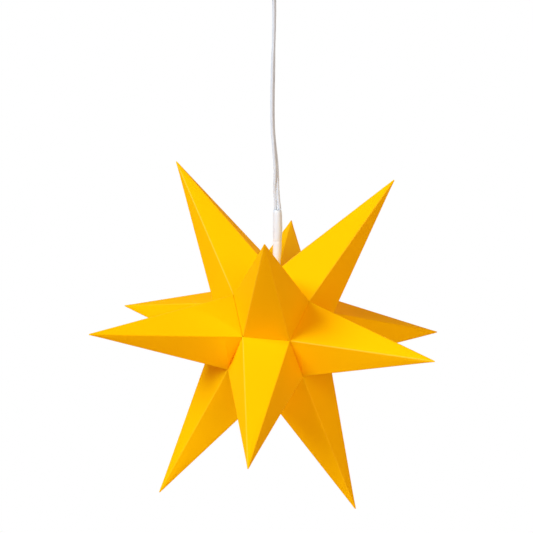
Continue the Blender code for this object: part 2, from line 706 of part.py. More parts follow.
def make_board():
    front = BOARD_BACK - BOARD
    board = add_object(
        "circuit_board",
        box_mesh(
            "circuit_board",
            (-BOARD_HALF_WIDTH, front, BOARD_BOTTOM),
            (BOARD_HALF_WIDTH, BOARD_BACK, BOARD_TOP),
        ),
        "board_green",
    )
    for number, x in enumerate(SCREW_XS, 1):
        hole = rod_mesh(
            "board_hole", SCREW_HOLE_RADIUS, (x, front - MM, SCREW_Z), (x, BOARD_BACK + MM, SCREW_Z)
        )
        shape(board, hole, f"board_hole_{number}")
        name = f"board_screw_{number}"
        head_back = -GAP
        profile = [
            (0, SCREW_HEAD),
            (SCREW_HEAD_RADIUS - 0.4 * MM, SCREW_HEAD),
            (SCREW_HEAD_RADIUS, SCREW_HEAD - 0.5 * MM),
            (SCREW_HEAD_RADIUS, 0),
            (SCREW_SHANK_RADIUS, 0),
            (SCREW_SHANK_RADIUS, head_back - SCREW_LENGTH + 0.4 * MM),
            (0, head_back - SCREW_LENGTH),
        ]
        screw = add_object(
            name, turned_mesh(name, profile, 16, closed=False), "steel", at=(x, front - GAP, SCREW_Z)
        )
        screw.rotation_euler = (math.pi / 2, 0, 0)
    low, high = (-9 * MM, front - GAP - 1.4 * MM, -78 * MM), (-4 * MM, front - GAP, -74 * MM)
    chip = box_mesh("timer_chip", low, high, edge=0.2 * MM)
    add_object("timer_chip", chip, "black_moulding")
    for number, side in ((1, -1), (2, 1)):
        name = f"board_lead_{number}"
        x = side * CORE_WIRE_OFFSET
        route = (
            (x, 0, BOARD_LEAD_START),
            (x, 0, BOARD_LEAD_START + 2.2 * MM),
            (x, 0.3 * MM, BOARD_LEAD_START + 4.2 * MM),
            (x, 2 * MM, BOARD_LEAD_START + 6.3 * MM),
            (x, 4.4 * MM, BOARD_LEAD_START + 7.2 * MM),
            (x, front - GAP, BOARD_LEAD_START + 7.2 * MM),
        )
        add_object(name, tube_curve(name, smooth_line(route, 10), 0.8 * MM), "white_lead")


def make_switch():
    """A slide switch. Its knob comes out through a slot in the holder's bottom."""
    floor = BODY_BOTTOM + WALL
    flange_low = floor + 0.8 * MM
    flange_high = flange_low + 1.1 * MM
    front = BOARD_BACK - BOARD - GAP
    housing = box_mesh(
        "switch_housing",
        (SWITCH_X - 4.8 * MM, SWITCH_Y - 2.2 * MM, flange_high + GAP),
        (SWITCH_X + 4.8 * MM, front, flange_high + 4 * MM),
        edge=0.3 * MM,
    )
    add_object("switch_housing", housing, "black_moulding")
    knob_x, knob_y, knob_z = KNOB
    at = Vector((SWITCH_X - SWITCH_TRAVEL / 2, SWITCH_Y, BODY_BOTTOM - GAP))
    low, high = (-knob_x / 2, -knob_y / 2, -knob_z), (knob_x / 2, knob_y / 2, 0)
    knob = box_mesh("switch_slider", low, high, 0.5 * MM, 0.3 * MM)
    slider = add_object("switch_slider", knob, "black_moulding", at=at)
    stem = Vector((SLIDER_STEM[0] / 2, SLIDER_STEM[1] / 2, 0))
    flange = Vector((1.8 * MM, 1.7 * MM, 0))
    parts = {
        "slider_stem": (stem, -1 * MM, flange_low - at.z + 0.5 * MM),
        "slider_flange": (flange, flange_low - at.z, flange_high - at.z),
    }
    for name, (half, start, end) in parts.items():
        low, high = at - half + Vector((0, 0, start)), at + half + Vector((0, 0, end))
        shape(slider, box_mesh(name, low, high), name, "UNION")


def make_gland():
    """A soft bush that holds the lead. Its mouth flares so that the lead can swing."""
    inside = BODY_BOTTOM + WALL + GAP
    outside = BODY_BOTTOM - GAP
    profile = [
        (GLAND_BORE_RADIUS, inside + 1 * MM),
        (GLAND_FLANGE_RADIUS - 0.4 * MM, inside + 1 * MM),
        (GLAND_FLANGE_RADIUS, inside + 0.6 * MM),
        (GLAND_FLANGE_RADIUS, inside),
        (GLAND_NECK_RADIUS, inside),
        (GLAND_NECK_RADIUS, outside),
        (GLAND_FLANGE_RADIUS + 1.4 * MM, outside),
        (GLAND_FLANGE_RADIUS + 1.2 * MM, outside - 1.5 * MM),
        (GLAND_MOUTH_RADIUS, GLAND_BOTTOM + 0.5 * MM),
        (GLAND_MOUTH_RADIUS - 0.5 * MM, GLAND_BOTTOM),
        (GLAND_FLARE_RADIUS, GLAND_BOTTOM),
        (GLAND_BORE_RADIUS, PIVOT_Z + 0.5 * MM),
    ]
    add_object("lead_gland", turned_mesh("lead_gland", profile, 32), "grey_rubber")


def main():
    clear_scene()
    lead_pivot = add_pivot("lead_pivot", (0, 0, PIVOT_Z))
    make_star(lead_pivot)
    make_lead(lead_pivot)
    make_lamp(lead_pivot)
    make_hanging_loop()
    make_holder_body()
    make_cover()
    make_cells()
    make_contacts()
    make_board()
    make_switch()
    make_gland()


main()
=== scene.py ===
"""Looks for the LED Christmas star: folded yellow spikes, twin lead, shrink sleeve and battery holder.

Laid out as a Blender add-on and run as a script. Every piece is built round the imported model, in metres,
with +Z up and the origin where a hook bears on the hanging loop.
"""

import math
from types import SimpleNamespace

import bmesh
import bpy
import numpy as np
from bpy.props import FloatProperty, FloatVectorProperty, PointerProperty
from mathutils import Matrix, Vector


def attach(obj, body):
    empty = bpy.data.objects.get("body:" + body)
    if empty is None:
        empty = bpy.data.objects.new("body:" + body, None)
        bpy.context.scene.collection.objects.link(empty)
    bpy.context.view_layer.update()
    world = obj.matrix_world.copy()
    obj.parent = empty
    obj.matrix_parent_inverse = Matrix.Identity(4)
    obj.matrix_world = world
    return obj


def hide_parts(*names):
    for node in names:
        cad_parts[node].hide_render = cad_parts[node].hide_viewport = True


bl_info = {
    "name": "LED Christmas star",
    "version": (1, 0, 0),
    "blender": (4, 5, 0),
    "location": "3D View > Sidebar > Christmas star",
    "description": "Builds a hanging star of folded spikes with its lead, lamp and battery holder",
    "category": "Object",
}

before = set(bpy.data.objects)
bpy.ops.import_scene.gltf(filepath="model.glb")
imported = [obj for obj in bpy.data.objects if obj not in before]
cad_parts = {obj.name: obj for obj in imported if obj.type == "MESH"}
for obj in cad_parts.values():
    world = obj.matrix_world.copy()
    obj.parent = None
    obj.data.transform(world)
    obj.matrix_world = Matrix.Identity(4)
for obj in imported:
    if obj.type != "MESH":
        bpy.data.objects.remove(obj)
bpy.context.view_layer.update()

MM = 0.001
PHI = (1 + math.sqrt(5)) / 2
SHARP = 35  # degrees between two faces from which their edge isn't shaded smooth
NEARLY_SQUARE = 0.01  # mm of rounding
OVER = 1  # mm that a shape that cuts stands out of what it cuts
EDGE = 0.2  # mm of rounding on a plain moulded edge


# Sizes and colours


def linear(hex_colour):
    """An sRGB hex colour as linear red, green and blue."""
    channels = [int(hex_colour[i : i + 2], 16) / 255 for i in (0, 2, 4)]
    return tuple(c / 12.92 if c <= 0.04045 else ((c + 0.055) / 1.055) ** 2.4 for c in channels)


def place(name, description, mm, **more):
    return FloatProperty(
        name=name, description=description, default=mm * MM, unit="LENGTH", precision=5, **more
    )


def size(name, description, mm):
    return place(name, description, mm, min=0.0)


def angle(name, description, degrees):
    return FloatProperty(name=name, description=description, default=math.radians(degrees), subtype="ANGLE")


def level(name, description, default):
    return FloatProperty(name=name, description=description, default=default, min=0.0)


def colour(name, description, hex_colour):
    return FloatVectorProperty(
        name=name, description=description, default=linear(hex_colour), subtype="COLOR", min=0.0, max=1.0
    )


class StarSizes(bpy.types.PropertyGroup):
    """Sizes of the folded star"""

    centre_x: place("Centre, sideways", "How far the star's centre lies to the right of the hook", -1.5)
    centre_z: place("Centre, height", "Height of the star's centre", -300)
    tilt: angle("Tilt", "Lean of the star to the right", 4.4)
    tip_radius: size("Tip radius", "From the centre to a tip", 125)
    core_radius: size("Core radius", "From the centre to a corner where three spikes meet", 41.4)
    sheet: size("Sheet", "Thickness of the sheet", 0.5)
    seam_half_gap: size("Seam half gap", "Half the gap between two glued tabs", 0.02)
    tip_blunt: size("Tip blunting", "Radius of a folded tip", 0.45)
    fold_setback: size("Fold setback", "How far a fold's rounding reaches from its ridge", 0.75)
    face_bulge: size("Face bulge", "How far the middle of a face stands proud", 0.15)
    hollow_share: level("Hollow", "How far up a spike its hollow reaches", 0.96)
    tab_depth: size("Tab depth", "Depth of a base tab", 9)
    tab_start: size("Tab start", "Bare corner beside each tab", 2.5)
    tab_taper: size("Tab taper", "How much narrower a tab is at its end, on each side", 4.5)
    hole_radius: size("Stem hole", "Radius of the hole in the top seam", 3.3)


class LeadSizes(bpy.types.PropertyGroup):
    """Sizes of the lead, its sleeve and the lamp's stem"""

    core_diameter: size("Core diameter", "Across one insulated core of the twin lead", 2.04)
    core_spacing: size("Core spacing", "Between the middles of the joined cores", 1.96)
    parted_spacing: size("Parted spacing", "Between the middles of the cores at the sleeve", 2.6)
    split_z: place("Split", "Height at which the two cores part", -216.5)
    axis_x: place("Stem axis", "How far the sleeve, stem and lamp lie to the right of the hook", 2.4)
    step: size("Step", "Between the lead's sections", 1.6)


class HolderSizes(bpy.types.PropertyGroup):
    """Sizes of the battery holder and what it holds"""

    top: place("Top", "Height of the body's top", -10)
    bottom: place("Bottom", "Height of the body's bottom", -82)
    half_width: size("Half width", "From the middle of the body to a side", 25)
    front: place("Front", "Where the body's front edge lies", -9.8)
    back: place("Back", "Where the body's back lies", 9.5)
    corner: size("Corner", "Rounding of the upright edges", 3)
    rim: size("Rim", "Rounding of the top and bottom rims", 0.8)
    wall: size("Wall", "Thickness of the walls", 1.6)
    top_wall: size("Top wall", "Thickness of the wall that the loop stands in", 3)
    shelf_top: place("Shelf", "Height of the shelf under the cells", -70.3)
    shelf: size("Shelf thickness", "Thickness of the shelf under the cells", 1.5)
    cover: size("Cover", "Thickness of the cover", 2)
    pivot_drop: size("Cover pivot", "From the cover's top edge to its pegs", 1.2)
    gap: size("Gap", "Between pieces that touch", 0.3)
    cell_radius: size("Cell radius", "Of a cell", 7.1)
    cell_pitch: size("Cell pitch", "Between the middles of two cells", 15.2)
    cell_y: place("Cells", "Where the cells' middles lie, front to back", 0.4)
    cell_top: place("Cell top", "Height of the highest cell's end", -14.1)
    cell_body: size("Cell body", "Length of a cell without its nub", 49.1)
    nub: size("Nub", "Height of a cell's nub", 1.4)
    contact: size("Contact", "Thickness of a contact", 0.5)
    spring: size("Spring", "Height of a contact spring", 4.3)
    board_front: place("Board", "Where the circuit board's front lies", 6.2)
    screw_z: place("Screws", "Height of the two screws", -76)


class LampSizes(bpy.types.PropertyGroup):
    """Sizes of the lamp inside the star"""

    washer_top: place("Washer", "Height of the washer's top", -270.7)
    housing_top: place("Housing top", "Height of the housing's top", -272.2)
    housing_bottom: place("Housing bottom", "Height of the housing's open end", -294)
    housing_radius: size("Housing radius", "Of the housing and of the diffuser's dome", 8)
    board_z: place("LED board", "Height of the LED board's underside", -288)
    board_radius: size("LED board radius", "Of the LED board", 6.3)
    led_ring: size("LED ring", "Radius of the ring that the LEDs lie on", 3.2)
    diffuser_top: place("Diffuser neck", "Height of the diffuser's neck", -290.5)
    diffuser_bottom: place("Diffuser end", "Height of the diffuser's round end", -312)


class FinishColours(bpy.types.PropertyGroup):
    """Colours of the materials"""

    sheet: colour("Sheet", "Yellow of the folded sheet", "FFD000")
    # The paler fold colour is partly stretch-whitening and partly a painted highlight along the rounded
    # folds
    fold: colour("Fold", "Paler yellow of a stretched fold", "FFDC5A")
    # The glow is painted light: an orange emission on the sheet, no lamp, that stands for light passing
    # through it
    glow: colour("Glow", "Orange of the light that comes through the sheet", "FF3000")
    lead: colour("Lead", "White of the lead's insulation", "DDE8EF")
    sleeve: colour("Sleeve", "White of the shrink sleeve", "EAF6FB")
    stem: colour("Stem", "White of the lamp's stem", "EDF8FD")
    moulding: colour("Moulding", "White of the moulded plastic", "DDE3E5")
    diffuser: colour("Diffuser", "Milky white of the lamp's cover", "EEF0EA")
    rubber: colour("Gland", "Grey of the soft gland", "C6CACB")
    board: colour("Board", "Green of the circuit board", "1F6B3F")
    track: colour("Track", "Green of the resist over a copper track", "2E8550")
    black: colour("Black", "Black of the switch and the timer chip", "1B1C1E")
    ceramic: colour("Ceramic", "Tan of a small capacitor", "A98A66")
    led: colour("LED", "Yellow of an unlit LED's face", "E8C33A")
    nickel: colour("Nickel", "Nickel plate of the contacts", "C8C4BB")
    tin: colour("Tin", "Tin of solder and pads", "CDCFD1")
    jacket: colour("Jacket", "Film jacket of the cells", "35424F")
    band: colour("Band", "Silver band of the cells' jackets", "B9BDC1")
    ink: colour("Ink", "White ink of the cells' signs", "E9ECEE")
    zinc: colour("Zinc", "Zinc plate of the loop and screws", "B4B7BA")


class StageSettings(bpy.types.PropertyGroup):
    """Floor and lights"""

    floor_z: place("Floor", "Height of the floor", -640)
    floor: colour("Floor", "Pale colour of the floor", "D4C6BC")
    key: level("Key", "Level of the key light on a face turned to it", 0.84)
    key_colour: colour("Key colour", "Slightly cool tint of the key light", "E8F0FF")
    key_azimuth: angle("Key, round", "Key light, round to the right of the front", -40)
    key_height: angle("Key, up", "Key light above the horizon", 33)
    key_softness: angle("Key softness", "Angle that the key light fills", 30)
    side: level("Side", "Level of the soft side light on a face turned to it", 0.28)
    side_colour: colour("Side colour", "Warm tint of the side light", "FFEEDD")
    side_azimuth: angle("Side, round", "Side light, round to the right of the front", 32)
    side_height: angle("Side, up", "Side light above the horizon", 13)
    side_softness: angle("Side softness", "Angle that the side light fills", 40)
    back: level("Back", "Level of the weak light from behind on a face turned to it", 0.12)
    back_colour: colour("Back colour", "Warm tint of the light from behind", "FFEEDD")
    back_azimuth: angle("Back, round", "Back light, round to the right of the front", 165)
    back_height: angle("Back, up", "Back light above the horizon", 30)
    back_softness: angle("Back softness", "Angle that the back light fills", 60)
    fill: level("Fill", "Level of the light from all round", 0.23)
    fill_colour: colour("Fill colour", "Warm tint of the light from all round", "FFD6BC")


# Helpers for meshes


def in_mm(group):
    """A group's lengths as plain numbers in mm."""
    return SimpleNamespace(**{key: getattr(group, key) / MM for key in group.__annotations__})


def unit(vectors):
    """A vector, or each of several, at a length of 1."""
    vectors = np.array(vectors, float)
    return vectors / np.linalg.norm(vectors, axis=-1, keepdims=True)


def directions(path):
    """Which way a path runs at each of its points."""
    return unit(np.vstack((path[1:], path[-1:])) - np.vstack((path[:1], path[:-1])))


def circle(radius, sides=16):
    turns = [2 * math.pi * k / sides for k in range(sides)]
    return [(radius * math.cos(turn), radius * math.sin(turn)) for turn in turns]


def rectangle(width, height):
    return [(x * width / 2, y * height / 2) for x, y in ((-1, -1), (1, -1), (1, 1), (-1, 1))]


def smooth_line(points, steps):
    """Evenly counted points on one smooth curve through the given points."""
    p = np.array(points, float)
    p = np.vstack([2 * p[0] - p[1], p, 2 * p[-1] - p[-2]])
    line = []
    for at in np.linspace(0, len(points) - 1, steps + 1):
        i = min(int(at), len(points) - 2)
        t = at - i
        a, b, c, d = p[i : i + 4]
        square, cube = 2 * a - 5 * b + 4 * c - d, 3 * b - a - 3 * c + d
        line.append(0.5 * (2 * b + (c - a) * t + square * t**2 + cube * t**3))
    return np.array(line)


def add_ring(bm, points):
    return [bm.verts.new(point) for point in points]


def bridge(bm, rings):
    """Quads between each ring and the next."""
    for first, second in zip(rings, rings[1:]):
        for i in range(len(first)):
            bm.faces.new((first[i - 1], first[i], second[i], second[i - 1]))


def finish_mesh(bm, sharp_degrees=SHARP):
    """A mesh from a bmesh, with its faces turned out and smooth up to a sharp angle."""
    bmesh.ops.recalc_face_normals(bm, faces=bm.faces)
    mesh = bpy.data.meshes.new("mesh")
    bm.to_mesh(mesh)
    bm.free()
    mesh.shade_smooth()
    mesh.set_sharp_from_angle(angle=math.radians(sharp_degrees))
    return mesh


def skin(rings, sharp_degrees=SHARP, loop=False):
    """A surface over rings of points in mm, with a face at each end, or closed on its first ring."""
    bm = bmesh.new()
    rings = [add_ring(bm, [Vector(point) * MM for point in ring]) for ring in rings]
    bridge(bm, rings + rings[:1] if loop else rings)
    if not loop:
        bm.faces.new(rings[0])
        bm.faces.new(rings[-1])
    return finish_mesh(bm, sharp_degrees)


def turned(profile, at=(0, 0, 0), along=(0, 0, 1), sides=48, loop=False):
    """A turned shape in mm. Its profile gives a radius and a height along its axis."""
    turn = Vector(along).to_track_quat("Z", "Y").to_matrix()
    rings = [[Vector(at) + turn @ Vector((x, y, h)) for x, y in circle(r, sides)] for r, h in profile]
    return skin(rings, loop=loop)


def rod(radius, start, end, sides=32):
    """A plain rod between two points, in mm."""
    along = Vector(end) - Vector(start)
    return turned(((radius, 0), (radius, along.length)), start, along, sides)


def swept(path, section, across=(0.3, 0.9, 0.2)):
    """A section carried along a path, in mm, with as little twist as the path allows."""
    path, side, rings = np.array(path, float), np.array(across, float), []
    for at, forward in zip(path, directions(path)):
        side = unit(side - (side @ forward) * forward)
        other = np.cross(forward, side)
        rings.append([at + u * side + v * other for u, v in section])
    return skin(rings, sharp_degrees=50)


def block(low, high, rounding=0.0, segments=2):
    """A box between two corners, in mm, with its edges rounded."""
    low, high = Vector(low), Vector(high)
    bm = bmesh.new()
    bmesh.ops.create_cube(bm, size=1)
    for vert in bm.verts:
        vert.co = ((low + high) / 2 + vert.co * (high - low)) * MM
    if rounding:
        rounded = {"offset": rounding * MM, "segments": segments, "profile": 0.5, "affect": "EDGES"}
        bmesh.ops.bevel(bm, geom=bm.edges[:], **rounded)
    return finish_mesh(bm)


def rounded_box(low, high, corner, rim, along=2, steps=6):
    """A box in mm. Its edges along one axis are rounded by corner, and both of its ends' rims by rim."""
    low, high = np.array(low, float), np.array(high, float)
    middle, half = (low + high) / 2, (high - low) / 2
    u, v = (axis for axis in range(3) if axis != along)
    curve = [(rim * (1 - y), rim * (1 - x)) for x, y in circle(1, 12)[:4]]
    levels = [(inset, low[along] + rise) for inset, rise in curve]
    levels += [(inset, high[along] - rise) for inset, rise in curve[::-1]]
    rings = []
    for inset, height in levels:
        ring = []
        radius = max(corner - inset, NEARLY_SQUARE)
        for quarter, (x, y) in enumerate(((1, 1), (-1, 1), (-1, -1), (1, -1))):
            for step in range(steps + 1):
                turn = math.pi / 2 * (quarter + step / steps)
                point = middle.copy()
                point[u] += x * (half[u] - inset - radius) + radius * math.cos(turn)
                point[v] += y * (half[v] - inset - radius) + radius * math.sin(turn)
                point[along] = height
                ring.append(point)
        rings.append(ring)
    return skin(rings)


def joined(meshes):
    """One mesh from several that don't touch."""
    bm = bmesh.new()
    for mesh in meshes:
        bm.from_mesh(mesh)
        bpy.data.meshes.remove(mesh)
    return finish_mesh(bm)


def add_piece(name, mesh, body, surface, *replaced):
    """A finished piece that rides on a body and stands for the named nodes."""
    mesh.name = name
    mesh.materials.append(finish(surface))
    piece = bpy.data.objects.new(name, mesh)
    bpy.context.collection.objects.link(piece)
    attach(piece, body)
    if replaced:
        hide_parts(*replaced)
    return piece


def add_parts(name, parts, stand, body, node):
    """The parts of one node, each of its own surface, moved to where the node stands."""
    for part, (surface, mesh) in parts.items():
        mesh.transform(stand)
        add_piece(f"{name}_{part}", mesh, body, surface, node)


def apply_modifiers(piece):
    """Makes what a piece's modifiers show its own mesh."""
    shown = piece.evaluated_get(bpy.context.evaluated_depsgraph_get())
    made = bpy.data.meshes.new_from_object(shown)
    piece.modifiers.clear()
    old, piece.data = piece.data, made
    bpy.data.meshes.remove(old)
    made.shade_smooth()
    made.set_sharp_from_angle(angle=math.radians(SHARP))


def apply_boolean(piece, operation, shapes):
    for shape in shapes:
        tool = bpy.data.objects.new("tool", shape)
        bpy.context.collection.objects.link(tool)
        modifier = piece.modifiers.new("tool", "BOOLEAN")
        modifier.operation, modifier.solver, modifier.object = operation, "EXACT", tool
        apply_modifiers(piece)
        bpy.data.objects.remove(tool)


def cut(piece, *shapes):
    """Cuts shapes out of a piece for good."""
    apply_boolean(piece, "DIFFERENCE", shapes)


def fuse(piece, *shapes):
    """Joins shapes on to a piece for good."""
    apply_boolean(piece, "UNION", shapes)


def soften(piece, width, degrees=50):
    """Rounds off a piece's edges that are sharper than an angle, by a width in mm."""
    modifier = piece.modifiers.new("soften", "BEVEL")
    modifier.width, modifier.segments, modifier.angle_limit = width * MM, 2, math.radians(degrees)
    apply_modifiers(piece)


# Materials


# What each surface really is: its slot, its colour, its roughness, and what differs from a plain moulding
FINISHES = {
    # Thin polypropylene sheet, dyed through: matt, with a dye that is never quite even, by 2 percent over
    # about 40 mm. Its embossed grain of about 0.5 mm is drawn at 0.8 mm so that it shows.
    "dyed_polypropylene_sheet": (
        "yellow_sheet",
        "sheet",
        0.75,
        {"cloud": (40, 0.02, 0.02), "uneven": 0, "grain_mm": 0.8, "bump": 0.25, "Specular IOR Level": 0.03},
    ),
    # Moulded ABS: fine spark-eroded grain, soft sheen
    "moulded_abs": ("white_moulding", "moulding", 0.42, {"IOR": 1.54, "grain_mm": 0.5, "bump": 0.1}),
    # Soft PVC, extruded: a slightly waxy white with a broad sheen
    "soft_pvc_insulation": ("white_lead", "lead", 0.42, {"IOR": 1.53, "grain_mm": 1.2, "bump": 0.01}),
    # Heat-shrink polyolefin: a dense satin white, a little uneven where it drew in
    "heat_shrink_polyolefin": ("white_sleeve", "sleeve", 0.4, {"grain_mm": 2.5, "bump": 0.1}),
    # Soft moulded polyethylene: whiter and smoother than the sleeve
    "moulded_polyethylene": ("white_moulding", "stem", 0.35, {"grain_mm": 3.0, "bump": 0.04}),
    # Soft PVC, moulded: matt and slightly dusty
    "soft_pvc_gland": ("grey_rubber", "rubber", 0.6, {"grain_mm": 0.6, "bump": 0.1}),
    # Milky polycarbonate: smooth, slightly glossy
    "milky_polycarbonate": ("milky_moulding", "diffuser", 0.25, {"IOR": 1.58, "bump": 0.02}),
    # Glass-fibre board under a coat of solder resist: glossy, with a faint weave
    "solder_resist": ("board_green", "board", 0.3, {"IOR": 1.55, "grain_mm": 0.8, "bump": 0.06}),
    # The same coat over copper, which stands proud and looks lighter
    "resist_over_copper": ("board_green", "track", 0.3, {"IOR": 1.55, "bump": 0.02}),
    # Moulded nylon: dense black with a satin grain
    "moulded_nylon": ("black_moulding", "black", 0.38, {"IOR": 1.53, "grain_mm": 0.4, "bump": 0.1}),
    # Moulded epoxy of a chip: dull and slightly rough
    "moulded_epoxy": ("black_moulding", "black", 0.6, {"grain_mm": 0.25, "bump": 0.15}),
    # Fired ceramic of a small capacitor: dull and smooth
    "fired_ceramic": ("black_moulding", "ceramic", 0.5, {"IOR": 1.6, "bump": 0.04}),
    # Silicone filled with phosphor: a smooth yellow lens
    "phosphor_silicone": ("led_yellow", "led", 0.22, {"IOR": 1.41, "bump": 0.01}),
    # Nickel-plated steel: bright and slightly warm
    "nickel_plated_steel": ("nickel_plate", "nickel", 0.26, {"Metallic": 1, "grain_mm": 0.4}),
    # Tin solder: bright where it flowed, a little cloudy
    "tin_solder": (
        "nickel_plate",
        "tin",
        0.3,
        {"Metallic": 1, "cloud": (12.5, 0.12, 0.12 / 3), "grain_mm": 0.7, "bump": 0.15},
    ),
    # Zinc-plated steel: bluish grey with a broad highlight
    "zinc_plated_steel": (
        "steel",
        "zinc",
        0.34,
        {"Metallic": 1, "cloud": (12.5, 0.08, 0.08 / 3), "grain_mm": 0.6, "bump": 0.08},
    ),
    # Shrunk PVC film, printed: glossy, with faint ripples
    "pvc_film_jacket": ("cell_jacket", "jacket", 0.25, {"IOR": 1.53, "grain_mm": 4.0, "bump": 0.08}),
    # The same film printed silver: a soft metal sheen
    "silver_printed_film": ("cell_jacket", "band", 0.32, {"Metallic": 0.8, "grain_mm": 4.0, "bump": 0.08}),
    # Screen-printed ink: an even satin white
    "printed_ink": ("cell_jacket", "ink", 0.4, {}),
}
GLOW = 0.165  # strength of the painted glow, an orange emission that stands for light coming through the bare sheet
GRAIN_DEPTH = 0.1 * MM


def rgba(value):
    return (*value, 1.0)


def add_node(tree, kind, inputs=None, output=0, **settings):
    """Adds a shader node with its settings and links, and gives one of its outputs."""
    node = tree.nodes.new("ShaderNode" + kind)
    for key, value in settings.items():
        setattr(node, key, value)
    for socket, value in (inputs or {}).items():
        if isinstance(value, bpy.types.NodeSocket):
            tree.links.new(value, node.inputs[socket])
        else:
            node.inputs[socket].default_value = value
    return node.outputs[output] if node.outputs else None


def empty_tree(owner):
    """The node tree of a material or a world, without its nodes."""
    owner.use_nodes = True
    owner.node_tree.nodes.clear()
    return owner.node_tree


def finish(name):
    """The named surface, made when it is first asked for."""
    if name not in bpy.data.materials:
        _, key, roughness, more = FINISHES[name]
        make_surface(name, getattr(bpy.context.scene.finish_colours, key), roughness, **more)
    return bpy.data.materials[name]


def make_surface(
    name, base, roughness, cloud=(12.5, 0.03, 0.01), uneven=0.04, grain_mm=0.3, bump=0.05, **inputs
):
    """An even colour with a fine grain, and a slight cloud in the colour and in its sheen. The cloud is
    its size in mm, and how much darker and lighter it is. Other values go to the shader's inputs."""
    tree = empty_tree(bpy.data.materials.new(name))
    spot = add_node(tree, "TexCoord", output="Object")
    cloud_mm, darker, lighter = cloud
    cloud, grain = (
        add_node(tree, "TexNoise", {"Vector": spot, "Scale": 1 / (mm * MM), "Detail": 2.0})
        for mm in (cloud_mm, grain_mm)
    )
    strength = add_node(tree, "MapRange", {"Value": cloud, "To Min": 1 - darker, "To Max": 1 + lighter})
    dye = add_node(tree, "VectorMath", {0: tuple(base), "Scale": strength}, operation="SCALE")
    if name == "dyed_polypropylene_sheet":
        dye = whiten_and_highlight_folds(tree, dye)
        inputs |= light_through(tree)
    sheen = {"Value": cloud, "To Min": roughness - uneven, "To Max": roughness + uneven}
    inputs |= {
        "Base Color": dye,
        "Roughness": add_node(tree, "MapRange", sheen) if uneven else roughness,
        "Normal": add_node(tree, "Bump", {"Height": grain, "Strength": bump, "Distance": GRAIN_DEPTH}),
    }
    add_node(tree, "OutputMaterial", {"Surface": add_node(tree, "BsdfPrincipled", inputs)})


def whiten_and_highlight_folds(tree, dye):
    """Scored folds stretch and whiten, and the rounded folds catch the light. A paler line along each ridge
    draws both:
    stretch-whitening and a painted highlight.
    """
    fold = add_node(tree, "Attribute", output="Fac", attribute_name="fold")
    pale = rgba(bpy.context.scene.finish_colours.fold)
    return add_node(tree, "Mix", {"Factor": fold, "A": dye, "B": pale}, "Result", data_type="RGBA")


def light_through(tree):
    """The thin sheet lets some light through to its shaded side, mostly red. A faint painted glow, an orange
    emission on the sheet, stands for it, and is halved at the base, where the tabs lie behind the sheet."""
    thin = add_node(tree, "Attribute", output="Fac", attribute_name="thin")
    strength = add_node(tree, "Math", {0: thin, 1: GLOW}, operation="MULTIPLY")
    return {"Emission Color": rgba(bpy.context.scene.finish_colours.glow), "Emission Strength": strength}


# Star


# Each spike's true axis, and how far its tip has relaxed from it, in mm to the right and up
SPIKES = {
    "top_left": ((-1, 0, PHI), (-3.0, -3.6)),
    "top_right": ((1, 0, PHI), (4.1, -4.1)),
    "bottom_left": ((-1, 0, -PHI), (1.5, -4.7)),
    "bottom_right": ((1, 0, -PHI), (-3.1, -3.4)),
    "front_upper": ((0, -PHI, 1), (0.0, -1.2)),
    "front_lower": ((0, -PHI, -1), (0.4, -2.5)),
    "back_upper": ((0, PHI, 1), (-0.2, -2.8)),
    "back_lower": ((0, PHI, -1), (0.0, -2.0)),
    "left_front": ((-PHI, -1, 0), (0.3, -3.1)),
    "left_back": ((-PHI, 1, 0), (1.2, -0.6)),
    "right_front": ((PHI, -1, 0), (-2.0, -0.9)),
    "right_back": ((PHI, 1, 0), (-1.0, 0.0)),
}
# The folds that stretched most or catch the most light, and how pale they are drawn, stretch-whitening and
# painted
# highlight together: each runs down to where these two neighbours meet
PALE_FOLDS = {
    "top_left": ({"left_front", "front_upper"}, 0.5),
    "front_lower": ({"left_front", "front_upper"}, 0.4),
    "right_front": ({"front_upper", "front_lower"}, 0.45),
    "bottom_right": ({"front_lower", "right_front"}, 0.07),
    "bottom_left": ({"front_lower", "left_front"}, 0.08),
    "back_upper": ({"top_right", "right_back"}, 0.3),
    "back_lower": ({"back_upper", "left_back"}, 0.4),
    "left_back": ({"back_lower", "bottom_left"}, 0.3),
}
FAINT_FOLDS = (0.0, 0.1, 0.0, 0.1, 0.05)  # how pale a spike's other folds are
# Seams that gape a little, and by how much on each side, in mm
OPEN_SEAMS = {
    frozenset(("front_upper", "left_front")): 0.15,
    frozenset(("front_upper", "front_lower")): 0.06,
    frozenset(("left_front", "bottom_left")): 0.1,
    frozenset(("right_front", "bottom_right")): 0.1,
    frozenset(("right_front", "front_lower")): 0.07,
    frozenset(("back_upper", "back_lower")): 0.1,
}
# Faces creased beside their seam: the neighbour across it, the neighbour at whose corner the crease
# starts, how far up the spike it climbs, and its height in mm
CREASES = {
    "left_front": (("front_lower", "bottom_left", 0.115, 2.1), ("front_upper", "front_lower", 0.3, 0.9)),
    "right_front": (("front_lower", "bottom_right", 0.08, 0.6),),
    "top_left": (("left_front", "left_back", 0.08, 0.3),),
    "back_lower": (("back_upper", "left_back", 0.1, 0.5),),
    "right_back": (("back_upper", "top_right", 0.15, 0.6),),
}
CREASE_RING = 0.1  # the ring that follows the crease
CREASE_FADE = 0.2  # how far past the crease the face is flat again
# Where the rings lie along a spike, closer at its base and its tip
RING_SHARES = (0, 0.012, 0.03, 0.05, 0.07, 0.093, CREASE_RING, 0.107, 0.14, 0.19, 0.25, 0.36, 0.48, 0.6)
RING_SHARES += (0.7, 0.79, 0.86, 0.91, 0.95, 0.98, 1)
QUARTERS = (0, 0.25, 0.5, 0.75, 1)
SPLIT_SPIKES = ("top_left", "top_right")  # the lamp's stem comes out between them


